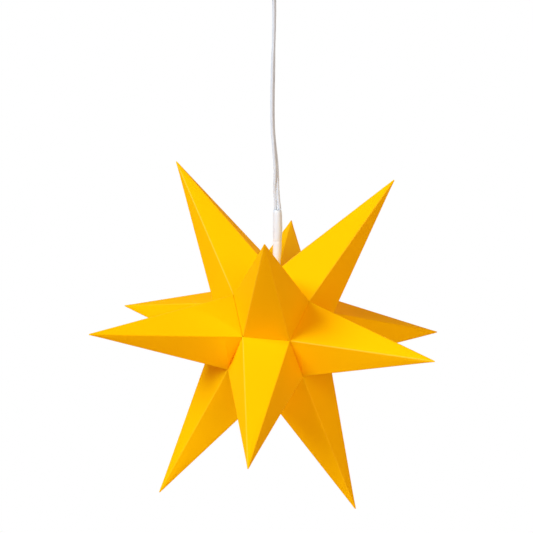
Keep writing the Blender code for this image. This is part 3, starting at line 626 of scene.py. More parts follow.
def neighbours(axis):
    """The names and axes of the five spikes next to this one, in turn."""
    near = {name: unit(a) for name, (a, _) in SPIKES.items() if 0.1 < unit(a) @ axis < 0.9}
    across = unit(np.cross(axis, next(iter(near.values()))))
    along = np.cross(across, axis)
    return sorted(near.items(), key=lambda item: math.atan2(item[1] @ across, item[1] @ along))


def onward(rows):
    """Each corner's row replaced by the next corner's."""
    return np.roll(rows, -1, axis=0)


def corner_by_corner(corners):
    """The number of each corner, the corner before it, the corner itself and the corner after it."""
    return zip(range(5), np.roll(corners, 1, axis=0), corners, onward(corners))


class FoldedSpike:
    """One sheet folded into a five-sided spike, with a tab along each side of its open base. Side i runs
    from corner i to the next corner, along the neighbour that both of them touch."""

    paleness_over_fold = (0, 0.6, 1, 0.6, 0)
    base_rounding, full_rounding = 0.12, 0.05  # share of a fold's rounding at the base, and where it is full
    widest_fold, shoulder = 0.27, 1.7  # a fold's largest share of a side, and where its face starts
    base_thinness, thin_from = 0.5, 0.15  # how much of the painted glow shows at the base, and where all of it does
    # The tip's crown is drawn a little pale, like the folds: whitening and painted highlight together
    crown_width, crown_rise, crown_paleness = 0.55, 0.2, 0.1
    corner_step, first_foot = 0.05, 0.15  # between the inner points at a corner, in mm
    tab = range(6, 10)  # segments of a side that a tab hangs from

    def __init__(self, name, sizes):
        direction, (lean_right, lean_up) = SPIKES[name]
        axis = unit(direction)
        names, around = zip(*neighbours(axis))
        across = (*names[1:], names[0])
        pale, strength = PALE_FOLDS.get(name, (None, 0))
        self.paleness = [
            strength if {*pair} == pale else faint for pair, faint in zip(zip(names, across), FAINT_FOLDS)
        ]
        self.creases = {}
        for neighbour, start, reach, height in CREASES.get(name, ()):
            side = across.index(neighbour)
            self.creases[side] = (names[side] == start, reach, height * MM)
        corners = sizes.core_radius * unit(axis + around + onward(around))
        seams = unit(np.cross(corners, onward(corners)))
        gaps = [OPEN_SEAMS.get(frozenset((name, other)), sizes.seam_half_gap / MM) * MM for other in across]
        self.base = corners + [
            np.linalg.solve([seams[i - 1], seams[i], unit(corners[i])], [gaps[i - 1], gaps[i], 0])
            for i in range(5)
        ]
        self.tip = sizes.tip_radius * axis + np.array([lean_right, 0, lean_up]) * MM
        self.top = self.tip + sizes.tip_blunt * unit(self.base - self.base.mean(axis=0))
        self.sizes, self.seams = sizes, seams
        self.sides = onward(self.base) - self.base
        self.faces = unit(np.cross(self.sides, self.top - self.base))
        ridges = unit(self.top - self.base)
        inward = [-sizes.sheet, -sizes.sheet, 0]
        self.thickness = [
            np.linalg.solve([self.faces[i - 1], self.faces[i], ridges[i]], inward) for i in range(5)
        ]

    def outer_ring(self, at):
        """Points and fold values round the outside, at a share of the way from base to tip."""
        sizes = self.sizes
        corners = self.base + at * (self.top - self.base)
        rounding = min(1.0, self.base_rounding + at / self.full_rounding)
        points, folds = [], []
        for i, before, here, after in corner_by_corner(corners):
            length, base_length = np.linalg.norm(after - here), np.linalg.norm(self.sides[i])
            setback = min(sizes.fold_setback * rounding, self.widest_fold * length)
            start, end = here + setback * unit(before - here), here + setback * unit(after - here)
            for t, pale in zip(QUARTERS, self.paleness_over_fold):
                points.append((1 - t) ** 2 * start + 2 * t * (1 - t) * here + t**2 * end)
                folds.append(pale * self.paleness[i])
            shoulder = self.shoulder * setback / length
            base_shoulder = self.shoulder * sizes.fold_setback * self.base_rounding / base_length
            tab = (sizes.tab_start / base_length - base_shoulder) / (1 - 2 * base_shoulder)
            for u in (0, tab, 0.3, 0.5, 0.7, 1 - tab, 1):
                share, lift = self.crease(i, u, at)
                start, end = (self.base[k] + share * (self.top[k] - self.base[k]) for k in (i, (i + 1) % 5))
                along = shoulder + (1 - 2 * shoulder) * u
                lift += sizes.face_bulge * 4 * u * (1 - u) * math.sin(math.pi * share) ** 0.5
                points.append(start + along * (end - start) + lift * self.faces[i])
                folds.append(0.0)
        return points, folds

    def crease(self, side, u, at):
        """How far up the spike a ring's point lies, and how far it stands out of its face. A creased face
        stands out most along a line that climbs away from one corner, and one ring follows that line."""
        if side not in self.creases or at == 0 or u in (0, 1):
            return at, 0.0
        forward, reach, height = self.creases[side]
        away = u if forward else 1 - u
        line = reach * away
        if at <= CREASE_RING:
            share, rise = line * at / CREASE_RING, at / CREASE_RING
        else:
            share = line + (1 - line) * (at - CREASE_RING) / (1 - CREASE_RING)
            rise = max(0.0, 1 - (share - line) / CREASE_FADE) ** 2
        return share, height * rise * 4 * away * (1 - away)

    def inner_corners(self, at):
        """The corners of the hollow, at a share of the way from base to tip."""
        return self.base + self.thickness + at * (self.top - self.base)

    def inner_ring(self):
        """Points round the inside of the base, where the sheet turns down into the tabs."""
        sheet, start = self.sizes.sheet, self.sizes.tab_start
        corners = self.inner_corners(0)
        points = []
        for i, before, here, after in corner_by_corner(corners):
            for step in (-2, -1, 0, 1, 2):
                aside = after - here if step > 0 else before - here
                points.append(here + abs(step) * self.corner_step * MM * unit(aside))
            run = unit(self.sides[i])
            fold = np.linalg.solve([self.faces[i], self.seams[i], run], [-sheet, sheet, 0])
            first = self.base[i] + start * run + fold
            last = self.base[(i + 1) % 5] - start * run + fold
            points.append(here + self.first_foot * MM * run)
            points += [first + u * (last - first) for u in QUARTERS]
            points.append(after - self.first_foot * MM * run)
        return points

    def mesh(self):
        bm = bmesh.new()
        pale, thin = bm.verts.layers.float.new("fold"), bm.verts.layers.float.new("thin")
        outer = []
        for at in RING_SHARES:
            points, folds = self.outer_ring(at)
            outer.append(add_ring(bm, points))
            for vert, fold in zip(outer[-1], folds):
                vert[pale] = fold
                # Share of the painted glow: half at the base, where the tabs lie behind the sheet, and full
                # from thin_from up
                vert[thin] = min(1.0, self.base_thinness * (1 + at / self.thin_from))
        crown = self.tip + self.crown_rise * MM * unit(self.tip)
        outer.append(add_ring(bm, [crown + self.crown_width * (point - self.tip) for point in points]))
        for vert in outer[-1]:
            vert[pale], vert[thin] = self.crown_paleness, 1.0
        bridge(bm, outer)
        bm.faces.new(outer[-1])
        inner = add_ring(bm, self.inner_ring())
        end = add_ring(bm, self.inner_corners(self.sizes.hollow_share))
        bm.faces.new(end)
        per_side = len(inner) // 5
        for i in range(5):
            foot = [inner[(i * per_side + 2 + k) % len(inner)] for k in range(per_side + 1)]
            bm.faces.new(foot + [end[(i + 1) % 5], end[i]])
        for i in range(5):
            self.add_base_side(bm, i, outer[0], inner, per_side)
        return finish_mesh(bm)

    def add_base_side(self, bm, i, outer, inner, per_side):
        """The rim along one side of the base, and the folded tab that hangs from it."""
        sizes, after = self.sizes, self.base[(i + 1) % 5]
        inset = (sizes.tab_start + sizes.tab_taper) * unit(self.sides[i])
        down = -sizes.tab_depth * unit(self.base[i] + after)
        start, end = self.base[i] + inset + down, after - inset + down
        ends = [start + u * (end - start) for u in QUARTERS]
        near = add_ring(bm, ends)
        far = add_ring(bm, [point + sizes.sheet * self.seams[i] for point in ends])
        for k in range(per_side):
            a, b = i * per_side + k, (i * per_side + k + 1) % len(outer)
            if k not in self.tab:
                bm.faces.new((outer[b], outer[a], inner[a], inner[b]))
                continue
            t = k - self.tab[0]
            bm.faces.new((outer[a], near[t], near[t + 1], outer[b]))
            bm.faces.new((inner[b], far[t + 1], far[t], inner[a]))
            bm.faces.new((near[t], far[t], far[t + 1], near[t + 1]))
        first, last = i * per_side + self.tab[0], i * per_side + self.tab[-1] + 1
        bm.faces.new((outer[first], inner[first], far[0], near[0]))
        bm.faces.new((outer[last], near[-1], far[-1], inner[last]))


class STAR_OT_fold_spikes(bpy.types.Operator):
    """Folds the twelve yellow spikes round the star's core"""

    bl_idname = "christmas_star.fold_spikes"
    bl_label = "Fold the spikes"

    # A hair off the middle, where the hole's corners would fall on the mesh's own edges
    hole_y = 0.04
    hole_low, hole_high = 10, 70  # above the star's centre

    def execute(self, context):
        sizes = context.scene.star_sizes
        star = in_mm(sizes)
        x, y = context.scene.lead_sizes.axis_x / MM, self.hole_y
        centre = Vector((sizes.centre_x, 0, sizes.centre_z))
        stand = Matrix.Translation(centre) @ Matrix.Rotation(sizes.tilt, 4, "Y")
        for name in SPIKES:
            mesh = FoldedSpike(name, sizes).mesh()
            mesh.transform(stand)
            node = f"spike_{name}"
            piece = add_piece(f"folded_{node}", mesh, "star", "dyed_polypropylene_sheet", node)
            if name in SPLIT_SPIKES:
                low, high = star.centre_z + self.hole_low, star.centre_z + self.hole_high
                cut(piece, rod(star.hole_radius, (x, y, low), (x, y, high)))
        return {"FINISHED"}


# Lead, sleeve and stem


# Points that the lead runs through, in mm: right, back, up
LEAD_ROUTE = (
    (0, 0, -84), (0.1, 0, -88.5), (0.2, 0.1, -97), (0.1, 0.3, -106), (-0.1, 0.5, -115.6),
    (-0.5, 0.7, -128), (-0.7, 0.8, -140.6), (-0.9, 0.6, -151), (-0.9, 0.2, -162), (-0.6, -0.3, -172),
    (0, -0.7, -179), (0.7, -0.9, -186.5), (1.4, -0.9, -194.5), (1.6, -0.6, -202), (1.5, -0.3, -209),
    (2, -0.1, -216.5), (2.4, 0, -222.4),
)  # fmt: skip
# How far the flat lead is turned from lying across the view, in degrees, by height in mm
LEAD_TWIST = (
    (-223, 0), (-217, 0), (-212, 6), (-206, 30), (-199, 54), (-188, 60), (-182, 70), (-150, 73), (-128, 76),
    (-119, 90), (-108, 84), (-95, 80), (-84, 78),
)  # fmt: skip
# How full the web between the cores is, as a share of a core's radius, by height in mm
LEAD_WEB = ((-223, 0), (-214, 0.3), (-205, 0.5), (-188, 0.7), (-176, 0.88))


def run_length(points):
    return sum(np.linalg.norm(b - a) for a, b in zip(points, points[1:]))


class STAR_OT_run_lead(bpy.types.Operator):
    """Runs the twin lead from its gland to the sleeve, where its two cores part"""

    bl_idname = "christmas_star.run_lead"
    bl_label = "Run the lead"

    sides = 20

    def execute(self, context):
        sizes = context.scene.lead_sizes
        route = np.array(LEAD_ROUTE) * MM
        path = smooth_line(route, round(run_length(route) / sizes.step))
        mesh = self.twin_mesh(path, sizes)
        piece = add_piece("twin_lead", mesh, "lead", "soft_pvc_insulation", "lead_cord")
        return {"FINISHED"}

    def core_points(self, at, to_other, up, radius, web):
        """Points round one core. Those towards the other core stay half the web's height off the middle."""
        points = []
        for x, rise in circle(1, self.sides):
            if x > 0 and rise:
                rise = math.copysign(max(abs(rise), web), rise)
            points.append(at + radius * (x * to_other + rise * up))
        return points

    def sections(self, path, sizes):
        """The points round the left and the right core, at each point of the path."""
        heights = path[:, 2] / MM
        turns = np.radians(np.interp(heights, *np.array(LEAD_TWIST, float).T))
        webs = np.interp(heights, *np.array(LEAD_WEB).T)
        for at, forward, turn, web in zip(path, directions(path), turns, webs):
            across = np.array([math.cos(turn), math.sin(turn), 0])
            across = unit(across - (across @ forward) * forward)
            up = np.cross(forward, across)
            parted = min(1, max(0, (sizes.split_z - at[2]) / (sizes.split_z - path[-1][2])))
            half = (sizes.core_spacing + parted * (sizes.parted_spacing - sizes.core_spacing)) / 2
            radius = sizes.core_diameter / 2
            cores = ((at - half * across, across, -up), (at + half * across, -across, up))
            yield [self.core_points(*core, radius, web) for core in cores]

    def twin_mesh(self, path, sizes):
        """Two round cores with a web between them, which ends where they part."""
        bm = bmesh.new()
        sections = list(self.sections(path, sizes))
        split = next(i for i, at in enumerate(path) if at[2] < sizes.split_z)
        # A core's first point looks at the other core. The two beside it are lost in the web.
        kept = range(2, self.sides - 1)
        whole = [add_ring(bm, [core[k] for core in cores for k in kept]) for cores in sections[:split]]
        parted = [add_ring(bm, core) for core in sections[split]]
        whole.append([core[k] for core in parted for k in kept])
        bridge(bm, whole)
        bm.faces.new(whole[0])
        bm.faces.new([core[k] for core in parted for k in (2, 1, 0, -1, -2)])
        for side, first in enumerate(parted):
            rings = [first] + [add_ring(bm, cores[side]) for cores in sections[split + 1 :]]
            bridge(bm, rings)
            bm.faces.new(rings[-1])
        return finish_mesh(bm, sharp_degrees=60)


class STAR_OT_shrink_sleeve(bpy.types.Operator):
    """Shrinks the sleeve over the parted cores, and adds the stem below it"""

    bl_idname = "christmas_star.shrink_sleeve"
    bl_label = "Shrink the sleeve"

    # Height, outer radius and shift to the right, in mm: the photographed outline
    sleeve = (
        (-222.7, 2.45, -0.25), (-223, 2.66, -0.22), (-224.6, 2.8, -0.1), (-227.5, 2.88, -0.02),
        (-230.5, 2.9, 0.02), (-233.5, 2.97, 0.07), (-236, 2.9, 0), (-239, 2.82, -0.08),
        (-241.6, 2.74, -0.14), (-242.4, 2.7, -0.15), (-242.6, 2.6, -0.15),
    )  # fmt: skip
    stem = (
        (-242.62, 2.6, -0.15), (-242.9, 2.68, -0.15), (-243.4, 2.72, -0.15), (-244.6, 2.76, -0.22),
        (-249, 2.68, -0.33), (-253, 2.53, -0.47), (-255.5, 2.35, -0.62), (-257.5, 2.2, -0.72),
        (-260, 2.2, -0.6), (-266, 2.6, -0.2), (-272, 2.9, 0), (-274, 3, 0),
        (-274.05, 4.5, 0), (-275.2, 4.6, 0),
    )  # fmt: skip
    sleeve_bore, stem_bore = 2.33, 1.97

    def execute(self, context):
        mesh = self.tube(self.sleeve, self.sleeve_bore)
        add_piece("shrink_sleeve", mesh, "lead", "heat_shrink_polyolefin", "lead_sleeve")
        mesh = self.tube(self.stem, self.stem_bore)
        add_piece("moulded_stem", mesh, "lead", "moulded_polyethylene", "lamp_stem")
        return {"FINISHED"}

    def tube(self, sections, bore):
        """A soft tube, uneven outside, with a plain bore."""
        axis = bpy.context.scene.lead_sizes.axis_x / MM
        sections += ((sections[-1][0], bore, 0), (sections[0][0], bore, 0))
        rings = [[(axis + shift + x, y, z) for x, y in circle(r, 36)] for z, r, shift in sections]
        return skin(rings, sharp_degrees=50, loop=True)


# Lamp


class STAR_OT_fit_lamp(bpy.types.Operator):
    """Fits the washer and the lamp inside the star"""

    bl_idname = "christmas_star.fit_lamp"
    bl_label = "Fit the lamp"

    hole = 3.3  # through the washer and the housing's roof
    washer_radius, washer = 9.5, 1.2
    housing_wall = 1.2
    housing_rim = ((1.1, 0), (0.4, 0.3), (0.1, 0.7), (0, 1.2))  # in from the side, down from the top
    housing_foot = ((0, 0.2), (0.15, 0), (1.1, 0))  # in from the side, up from the bottom
    board_thickness = 1
    core_radius, core_offset, joint_offset = 0.9, 1.05, 1.701
    core_top = -222.5
    led_half, led_rounding = (1.75, 1.4), 0.12  # across and along the ring
    led_top, led_bottom = -288.3, -289.1
    feet, foot_half = ((-1.9, -1.15), (1.15, 1.9)), 1.2
    lens = ((1.15, 0), (1.1, 0.04), (0.6, 0.08))  # its radius, and how far it stands out of the LED
    neck_radius, shoulder, diffuser_wall = 6.4, -294.3, 1.0
    joint = ((1.5, 0), (1.42, 0.12), (1.2, 0.3), (1.02, 0.6))

    def execute(self, context):
        lamp = in_mm(context.scene.lamp_sizes)
        self.axis = context.scene.lead_sizes.axis_x / MM
        self.fit_washer(lamp)
        self.fit_housing(lamp)
        self.fit_board(lamp)
        for number in (1, 2, 3):
            self.fit_led(lamp, number)
        self.fit_diffuser(lamp)
        self.run_cores(lamp)
        return {"FINISHED"}

    def ring(self, profile):
        return turned(profile, (self.axis, 0, 0), sides=64, loop=True)

    def fit_washer(self, lamp):
        r, top, low = self.washer_radius, lamp.washer_top, lamp.washer_top - self.washer
        profile = [(self.hole, top), (r - EDGE, top), (r, top - EDGE)]
        profile += [(r, low + EDGE), (r - EDGE, low), (self.hole, low)]
        add_piece("moulded_washer", self.ring(profile), "lead", "moulded_abs", "star_washer")

    def fit_housing(self, lamp):
        r, top, low = lamp.housing_radius, lamp.housing_top, lamp.housing_bottom
        inside, roof = r - self.housing_wall, top - self.housing_wall
        profile = [(self.hole, top)] + [(r - inset, top - drop) for inset, drop in self.housing_rim]
        profile += [(r - inset, low + rise) for inset, rise in self.housing_foot]
        profile += [(inside, low + 0.15), (inside, roof), (self.hole, roof)]
        add_piece("moulded_lamp_housing", self.ring(profile), "lead", "moulded_abs", "lamp_housing")

    def fit_board(self, lamp):
        """A round board, with the two solder joints of the cores on top."""
        r, low, top = lamp.board_radius, lamp.board_z, lamp.board_z + self.board_thickness
        board = turned(((r, low), (r, top)), (self.axis, 0, 0), sides=64)
        add_piece("round_led_board", board, "lead", "solder_resist", "led_board")
        xs = (self.axis - self.joint_offset, self.axis + self.joint_offset)
        joints = joined([turned(self.joint, (x, 0, top), sides=24) for x in xs])
        add_piece("led_board_joints", joints, "lead", "tin_solder", "led_board")

    def fit_led(self, lamp, number):
        turn = 2 * math.pi * number / 3
        (x, y), half = self.led_half, self.foot_half
        low, high = self.led_bottom, self.led_top
        feet = [block((start, -half, high), (end, half, lamp.board_z)) for start, end in self.feet]
        lens = [(r, low - out) for r, out in self.lens]
        parts = {
            "body": ("moulded_abs", block((-x, -y, low), (x, y, high), self.led_rounding)),
            "lens": ("phosphor_silicone", turned(lens, sides=32)),
            "feet": ("tin_solder", joined(feet)),
        }
        at = Vector((self.axis + lamp.led_ring * math.cos(turn), lamp.led_ring * math.sin(turn), 0)) * MM
        stand = Matrix.Translation(at) @ Matrix.Rotation(turn, 4, "Z")
        add_parts(f"led_{number}", parts, stand, "lead", f"led_{number}")

    def fit_diffuser(self, lamp):
        """A cup with a round end, whose neck plugs into the housing."""
        dome, wall, neck, top = lamp.housing_radius, self.diffuser_wall, self.neck_radius, lamp.diffuser_top
        centre = lamp.diffuser_bottom + dome
        turns = [math.radians(a) for a in range(0, 90, 8)]
        profile = [(neck - wall, top), (neck - EDGE, top), (neck, top - EDGE)]
        profile += [(neck, self.shoulder), (dome - EDGE, self.shoulder), (dome, self.shoulder - EDGE)]
        profile += [(dome * math.cos(a), centre - dome * math.sin(a)) for a in turns]
        profile += [((dome - wall) * math.cos(a), centre - (dome - wall) * math.sin(a)) for a in turns[::-1]]
        profile += [(dome - wall, self.shoulder - wall), (neck - wall, self.shoulder - wall)]
        add_piece("milky_diffuser", self.ring(profile), "lead", "milky_polycarbonate", "lamp_diffuser")

    def run_cores(self, lamp):
        """The two cores run on from the parted lead, down to the LED board."""
        wide, near = bpy.context.scene.lead_sizes.parted_spacing / MM / 2, self.core_offset
        line = [(wide, self.core_top), (wide - 0.03, self.core_top - 1.5), (near, -228), (near, -255)]
        line += [(near, -280), (self.joint_offset, lamp.board_z + 1.3)]
        for number, side in ((1, -1), (2, 1)):
            path = smooth_line([(self.axis + side * x, 0, z) for x, z in line], 40)
            mesh = swept(path, circle(self.core_radius, 20))
            add_piece(f"core_{number}", mesh, "lead", "soft_pvc_insulation", f"lead_core_{number}")


# Battery holder


class STAR_OT_bend_loop(bpy.types.Operator):
    """Bends the wire loop that the holder hangs by"""

    bl_idname = "christmas_star.bend_loop"
    bl_label = "Bend the loop"

    wire_radius, bend, centre_z = 1.2, 5.7, -4.5
    leg = (-12.4, -12, -8)

    def execute(self, context):
        arc = [math.radians(a) for a in range(0, 181, 9)]
        path = [(self.bend, 0, z) for z in self.leg]
        path += [(self.bend * math.cos(a), 0, self.centre_z + self.bend * math.sin(a)) for a in arc]
        path += [(-self.bend, 0, z) for z in self.leg[::-1]]
        mesh = swept(path, circle(self.wire_radius, 24), (0, 1, 0))
        add_piece("wire_loop", mesh, "holder", "zinc_plated_steel", "hanging_loop")
        return {"FINISHED"}


class STAR_OT_mould_holder(bpy.types.Operator):
    """Moulds the holder's body, which is open at the front"""

    bl_idname = "christmas_star.mould_holder"
    bl_label = "Mould the holder"

    loop_hole, peg_hole, screw_hole, gland_hole = 1.5, 1.4, 1.15, 4.3
    peg_hole_depth, screw_hole_depth = 1.3, 1.1
    slot_low, slot_high = (11.5, 1.7), (18.5, 4.3)
    rib_half_width, rib_height, rib_low, rib_high = 0.5, 3.6, -67.3, -19.1
    room_rounding, rib_rounding = 0.5, 0.25
    mark_proud, mark_root = 0.25, 0.3
    ring_radii, ring_from_slot = (0.9, 0.55), 1.8
    bar_half, bar_from_slot = (0.2, 0.9), 1.4

    def execute(self, context):
        h = in_mm(context.scene.holder_sizes)
        low, high = (-h.half_width, h.front, h.bottom), (h.half_width, h.back, h.top)
        mesh = rounded_box(low, high, h.corner, h.rim, steps=10)
        body = add_piece("moulded_holder", mesh, "holder", "moulded_abs", "holder_body")
        inner, back = h.half_width - h.wall, h.back - h.wall
        roof, floor, under = h.top - h.top_wall, h.bottom + h.wall, h.shelf_top - h.shelf
        ahead, behind_cover = h.front - OVER, h.front + h.cover + h.gap
        cut(
            body,
            block((-inner, ahead, h.shelf_top), (inner, back, roof), self.room_rounding),
            block((-inner, ahead, floor), (inner, back, under), self.room_rounding),
            block((-inner, ahead, under - OVER), (inner, behind_cover, h.shelf_top + OVER)),
            rod(self.gland_hole, (0, 0, h.bottom - OVER), (0, 0, floor + OVER)),
        )
        y, z = h.front + h.cover / 2, roof - h.gap - h.pivot_drop
        for side in (-1, 1):
            x, wall = side * STAR_OT_bend_loop.bend, side * inner
            cut(
                body,
                rod(self.loop_hole, (x, 0, roof - OVER), (x, 0, h.top + OVER)),
                rod(self.peg_hole, (wall - side * OVER, y, z), (wall + side * self.peg_hole_depth, y, z)),
            )
        for x in STAR_OT_fit_board.screw_xs:
            deep = back + self.screw_hole_depth
            cut(body, rod(self.screw_hole, (x, back - OVER, h.screw_z), (x, deep, h.screw_z)))
        slot = (*self.slot_low, h.bottom - OVER), (*self.slot_high, floor + OVER)
        cut(body, rounded_box(*slot, self.room_rounding, NEARLY_SQUARE))
        for side in (-1, 1):
            x = side * h.cell_pitch / 2
            low = (x - self.rib_half_width, back - self.rib_height, self.rib_low)
            high = (x + self.rib_half_width, back + OVER, self.rib_high)
            fuse(body, block(low, high, self.rib_rounding))
        fuse(body, *self.marks(h.bottom))
        soften(body, EDGE)
        return {"FINISHED"}

    def marks(self, bottom):
        """A plain ring and a plain bar beside the switch's slot, for off and on."""
        (left, front), (right, back) = self.slot_low, self.slot_high
        y, low, high = (front + back) / 2, bottom - self.mark_proud, bottom + self.mark_root
        outer, inner = self.ring_radii
        ring = ((outer, low), (outer, high), (inner, high), (inner, low))
        yield turned(ring, (left - self.ring_from_slot, y, 0), sides=32, loop=True)
        (width, depth), x = self.bar_half, right + self.bar_from_slot
        yield block((x - width, y - depth, low), (x + width, y + depth, high))


class STAR_OT_hang_cover(bpy.types.Operator):
    """Hangs the battery cover on its two pegs"""

    bl_idname = "christmas_star.hang_cover"
    bl_label = "Hang the cover"

    peg_radius, peg_length, peg_root = 1, 1, 1.0
    notch_radius, notch_drop = 7, 4.5
    rib_size, rib_rounding, rib_pitch, ribs, first_rib, rib_root = (18, 0.8, 0.9), 0.3, 2.4, 4, 9, 0.4
    edge = ((0, 0.3), (0.09, 0.09), (0.3, 0))  # how its edges are rounded

    def execute(self, context):
        h = in_mm(context.scene.holder_sizes)
        y, pivot_z = h.front + h.cover / 2, h.top - h.top_wall - h.gap - h.pivot_drop
        half_width, bottom = h.half_width - h.wall - h.gap, h.bottom + h.wall + h.gap
        top = pivot_z + h.pivot_drop - h.cover / 2
        stations = [(x - half_width, inset) for x, inset in self.edge]
        stations += [(half_width - x, inset) for x, inset in self.edge[::-1]]
        mesh = skin([self.section(x, y, top, bottom, h.cover / 2, inset) for x, inset in stations])
        cover = add_piece("hinged_cover", mesh, "cover", "moulded_abs", "battery_cover")
        r, length = self.peg_radius, self.peg_root + self.peg_length
        for side in (-1, 1):
            start = (side * (half_width - self.peg_root), y, pivot_z)
            peg = ((r, 0), (r, length - EDGE), (r - EDGE, length))
            fuse(cover, turned(peg, start, (side, 0, 0), sides=32))
        size = Vector(self.rib_size)
        for number in range(self.ribs):
            z = bottom + self.first_rib + number * self.rib_pitch
            middle = Vector((0, h.front - size.y / 2 + self.rib_root, z))
            rib = block(middle - size / 2, middle + size / 2, self.rib_rounding, segments=3)
            fuse(cover, rib)
        z = bottom - self.notch_drop
        ends = (0, h.front - OVER, z), (0, h.front + h.cover + OVER, z)
        cut(cover, rod(self.notch_radius, *ends, sides=96))
        return {"FINISHED"}

    def section(self, x, y, top, bottom, half, inset):
        """The cover's outline seen from its side: round at the top, nearly square at the bottom."""
        half, low = half - inset, bottom + inset
        turns = [math.radians(a) for a in range(0, 181, 15)]
        outline = [(half * math.cos(a), top + half * math.sin(a)) for a in turns]
        outline += [(rise - half, low + run) for rise, run in self.edge]
        outline += [(half - rise, low + run) for rise, run in self.edge[::-1]]
        return [(x, y + across, z) for across, z in outline]


class STAR_OT_load_cells(bpy.types.Operator):
    """Loads the three cells, with their springs and contacts"""

    bl_idname = "christmas_star.load_cells"
    bl_label = "Load the cells"

    # Radius and height from a cell's shoulder, in mm
    band = (
        (5.7, 0), (6.3, 0), (6.8, -0.2), (7.03, -0.45), (7.1, -0.85), (7.1, -9), (6.95, -9), (6.95, -0.9),
        (6.2, -0.15), (5.7, -0.15),
    )  # fmt: skip
    jacket = (
        (7.1, -9.02), (7.1, -48.2), (7, -48.7), (6.75, -49), (6.3, -49.1), (6, -49.1), (6, -48.95),
        (6.25, -48.95), (6.95, -48.2), (6.95, -9.02),
    )  # fmt: skip
    can = (
        (2, 1.4), (2.4, 1.32), (2.6, 1.1), (2.6, 0.25), (2.9, 0), (5.9, -0.16), (6.9, -0.95), (6.9, -48.2),
        (6.2, -48.97), (5, -48.97), (4.7, -48.85),
    )  # fmt: skip
    # The bars of the plus and minus signs: half their turn round the cell, and their two ends
    signs = ((0.19, -13.3, -12.7), (0.045, -12.68, -11.65), (0.045, -14.35, -13.32), (0.19, -45.3, -44.7))
    ink = 0.03
    wire_radius, wide, narrow, spring_turns, steps_per_turn = 0.35, 3.6, 2.4, 2.75, 24
    flat_until, rising_over = 0.14, 0.76  # shares of a spring's wire
    contact_half, contact_corner, contact_edge = 4.8, 1, 0.08
    dimple = ((1.7, -0.1), (1.6, 0.04), (1.25, 0.15), (0.7, 0.22), (0.25, 0.24))
    # The first and last cell that each contact meets, and the cells whose nubs press on it
    contacts = {
        "contact_top_single": (-1, -1, "top", (-1,)),
        "contact_top_bridge": (0, 1, "top", (1,)),
        "contact_bottom_bridge": (-1, 0, "bottom", (0,)),
        "contact_bottom_single": (1, 1, "bottom", ()),
    }

    def execute(self, context):
        h = in_mm(context.scene.holder_sizes)
        plate = h.shelf_top + 2 * h.gap + h.contact
        for number in (1, 2, 3):
            flipped = number == 2
            x = (number - 2) * h.cell_pitch
            shoulder = h.cell_top - h.spring - h.gap - h.cell_body if flipped else h.cell_top - h.nub
            self.load_cell(h.cell_radius, number, self.stand(x, h.cell_y, shoulder, flipped), flipped)
            foot = h.cell_top if flipped else plate
            self.wind_spring(h.spring, number, self.stand(x, h.cell_y, foot, flipped))
        for name, contact in self.contacts.items():
            self.stamp_contact(h, name, *contact)
        return {"FINISHED"}

    def stand(self, x, y, z, flipped):
        turn = math.pi if flipped else 0
        return Matrix.Translation(Vector((x, y, z)) * MM) @ Matrix.Rotation(turn, 4, "X")

    def load_cell(self, radius, number, stand, flipped):
        front = math.pi / 2 if flipped else -math.pi / 2
        signs = [self.print_bar(radius, front, *sign) for sign in self.signs]
        parts = {
            "band": ("silver_printed_film", turned(self.band, loop=True)),
            "jacket": ("pvc_film_jacket", turned(self.jacket, loop=True)),
            "can": ("nickel_plated_steel", turned(self.can)),
            "signs": ("printed_ink", joined(signs)),
        }
        add_parts(f"cell_{number}", parts, stand, "holder", f"battery_{number}")

    def print_bar(self, radius, middle, half_turn, low, high):
        """A thin printed bar that follows the jacket's round side."""
        turns = np.linspace(middle - half_turn, middle + half_turn, 7)
        corners = ((radius, low), (radius, high), (radius + self.ink, high), (radius + self.ink, low))
        return skin([[(r * math.cos(t), r * math.sin(t), z) for r, z in corners] for t in turns])

    def wind_spring(self, height, number, stand):
        """A conical spring that stands on its wide end, with both of its ends wound flat."""
        path = []
        for share in np.linspace(0, 1, round(self.steps_per_turn * self.spring_turns) + 1):
            turn = 2 * math.pi * self.spring_turns * share
            radius = self.wide + (self.narrow - self.wide) * share
            rise = min(1, max(0, (share - self.flat_until) / self.rising_over))
            z = self.wire_radius + (height - 2 * self.wire_radius) * rise
            path.append((radius * math.cos(turn), radius * math.sin(turn), z))
        mesh = swept(path, circle(self.wire_radius, 12), (0, 0, 1))
        mesh.transform(stand)
        node = f"contact_spring_{number}"
        add_piece(f"wound_spring_{number}", mesh, "holder", "nickel_plated_steel", node)

    def stamp_contact(self, h, name, first, last, end, pressed):
        """A flat plate with a dimple wherever a nub presses on it."""
        top = h.top - h.top_wall - h.gap if end == "top" else h.shelf_top + h.gap + h.contact
        low = (first * h.cell_pitch - self.contact_half, h.cell_y - self.contact_half, top - h.contact)
        high = (last * h.cell_pitch + self.contact_half, h.cell_y + self.contact_half, top)
        mesh = rounded_box(low, high, self.contact_corner, self.contact_edge)
        plate = add_piece(f"stamped_{name}", mesh, "holder", "nickel_plated_steel", name)
        face, along = (top - h.contact, -1) if end == "top" else (top, 1)
        for cell in pressed:
            at = (cell * h.cell_pitch, h.cell_y, face)
            fuse(plate, turned(self.dimple, at, (0, 0, along), sides=32))


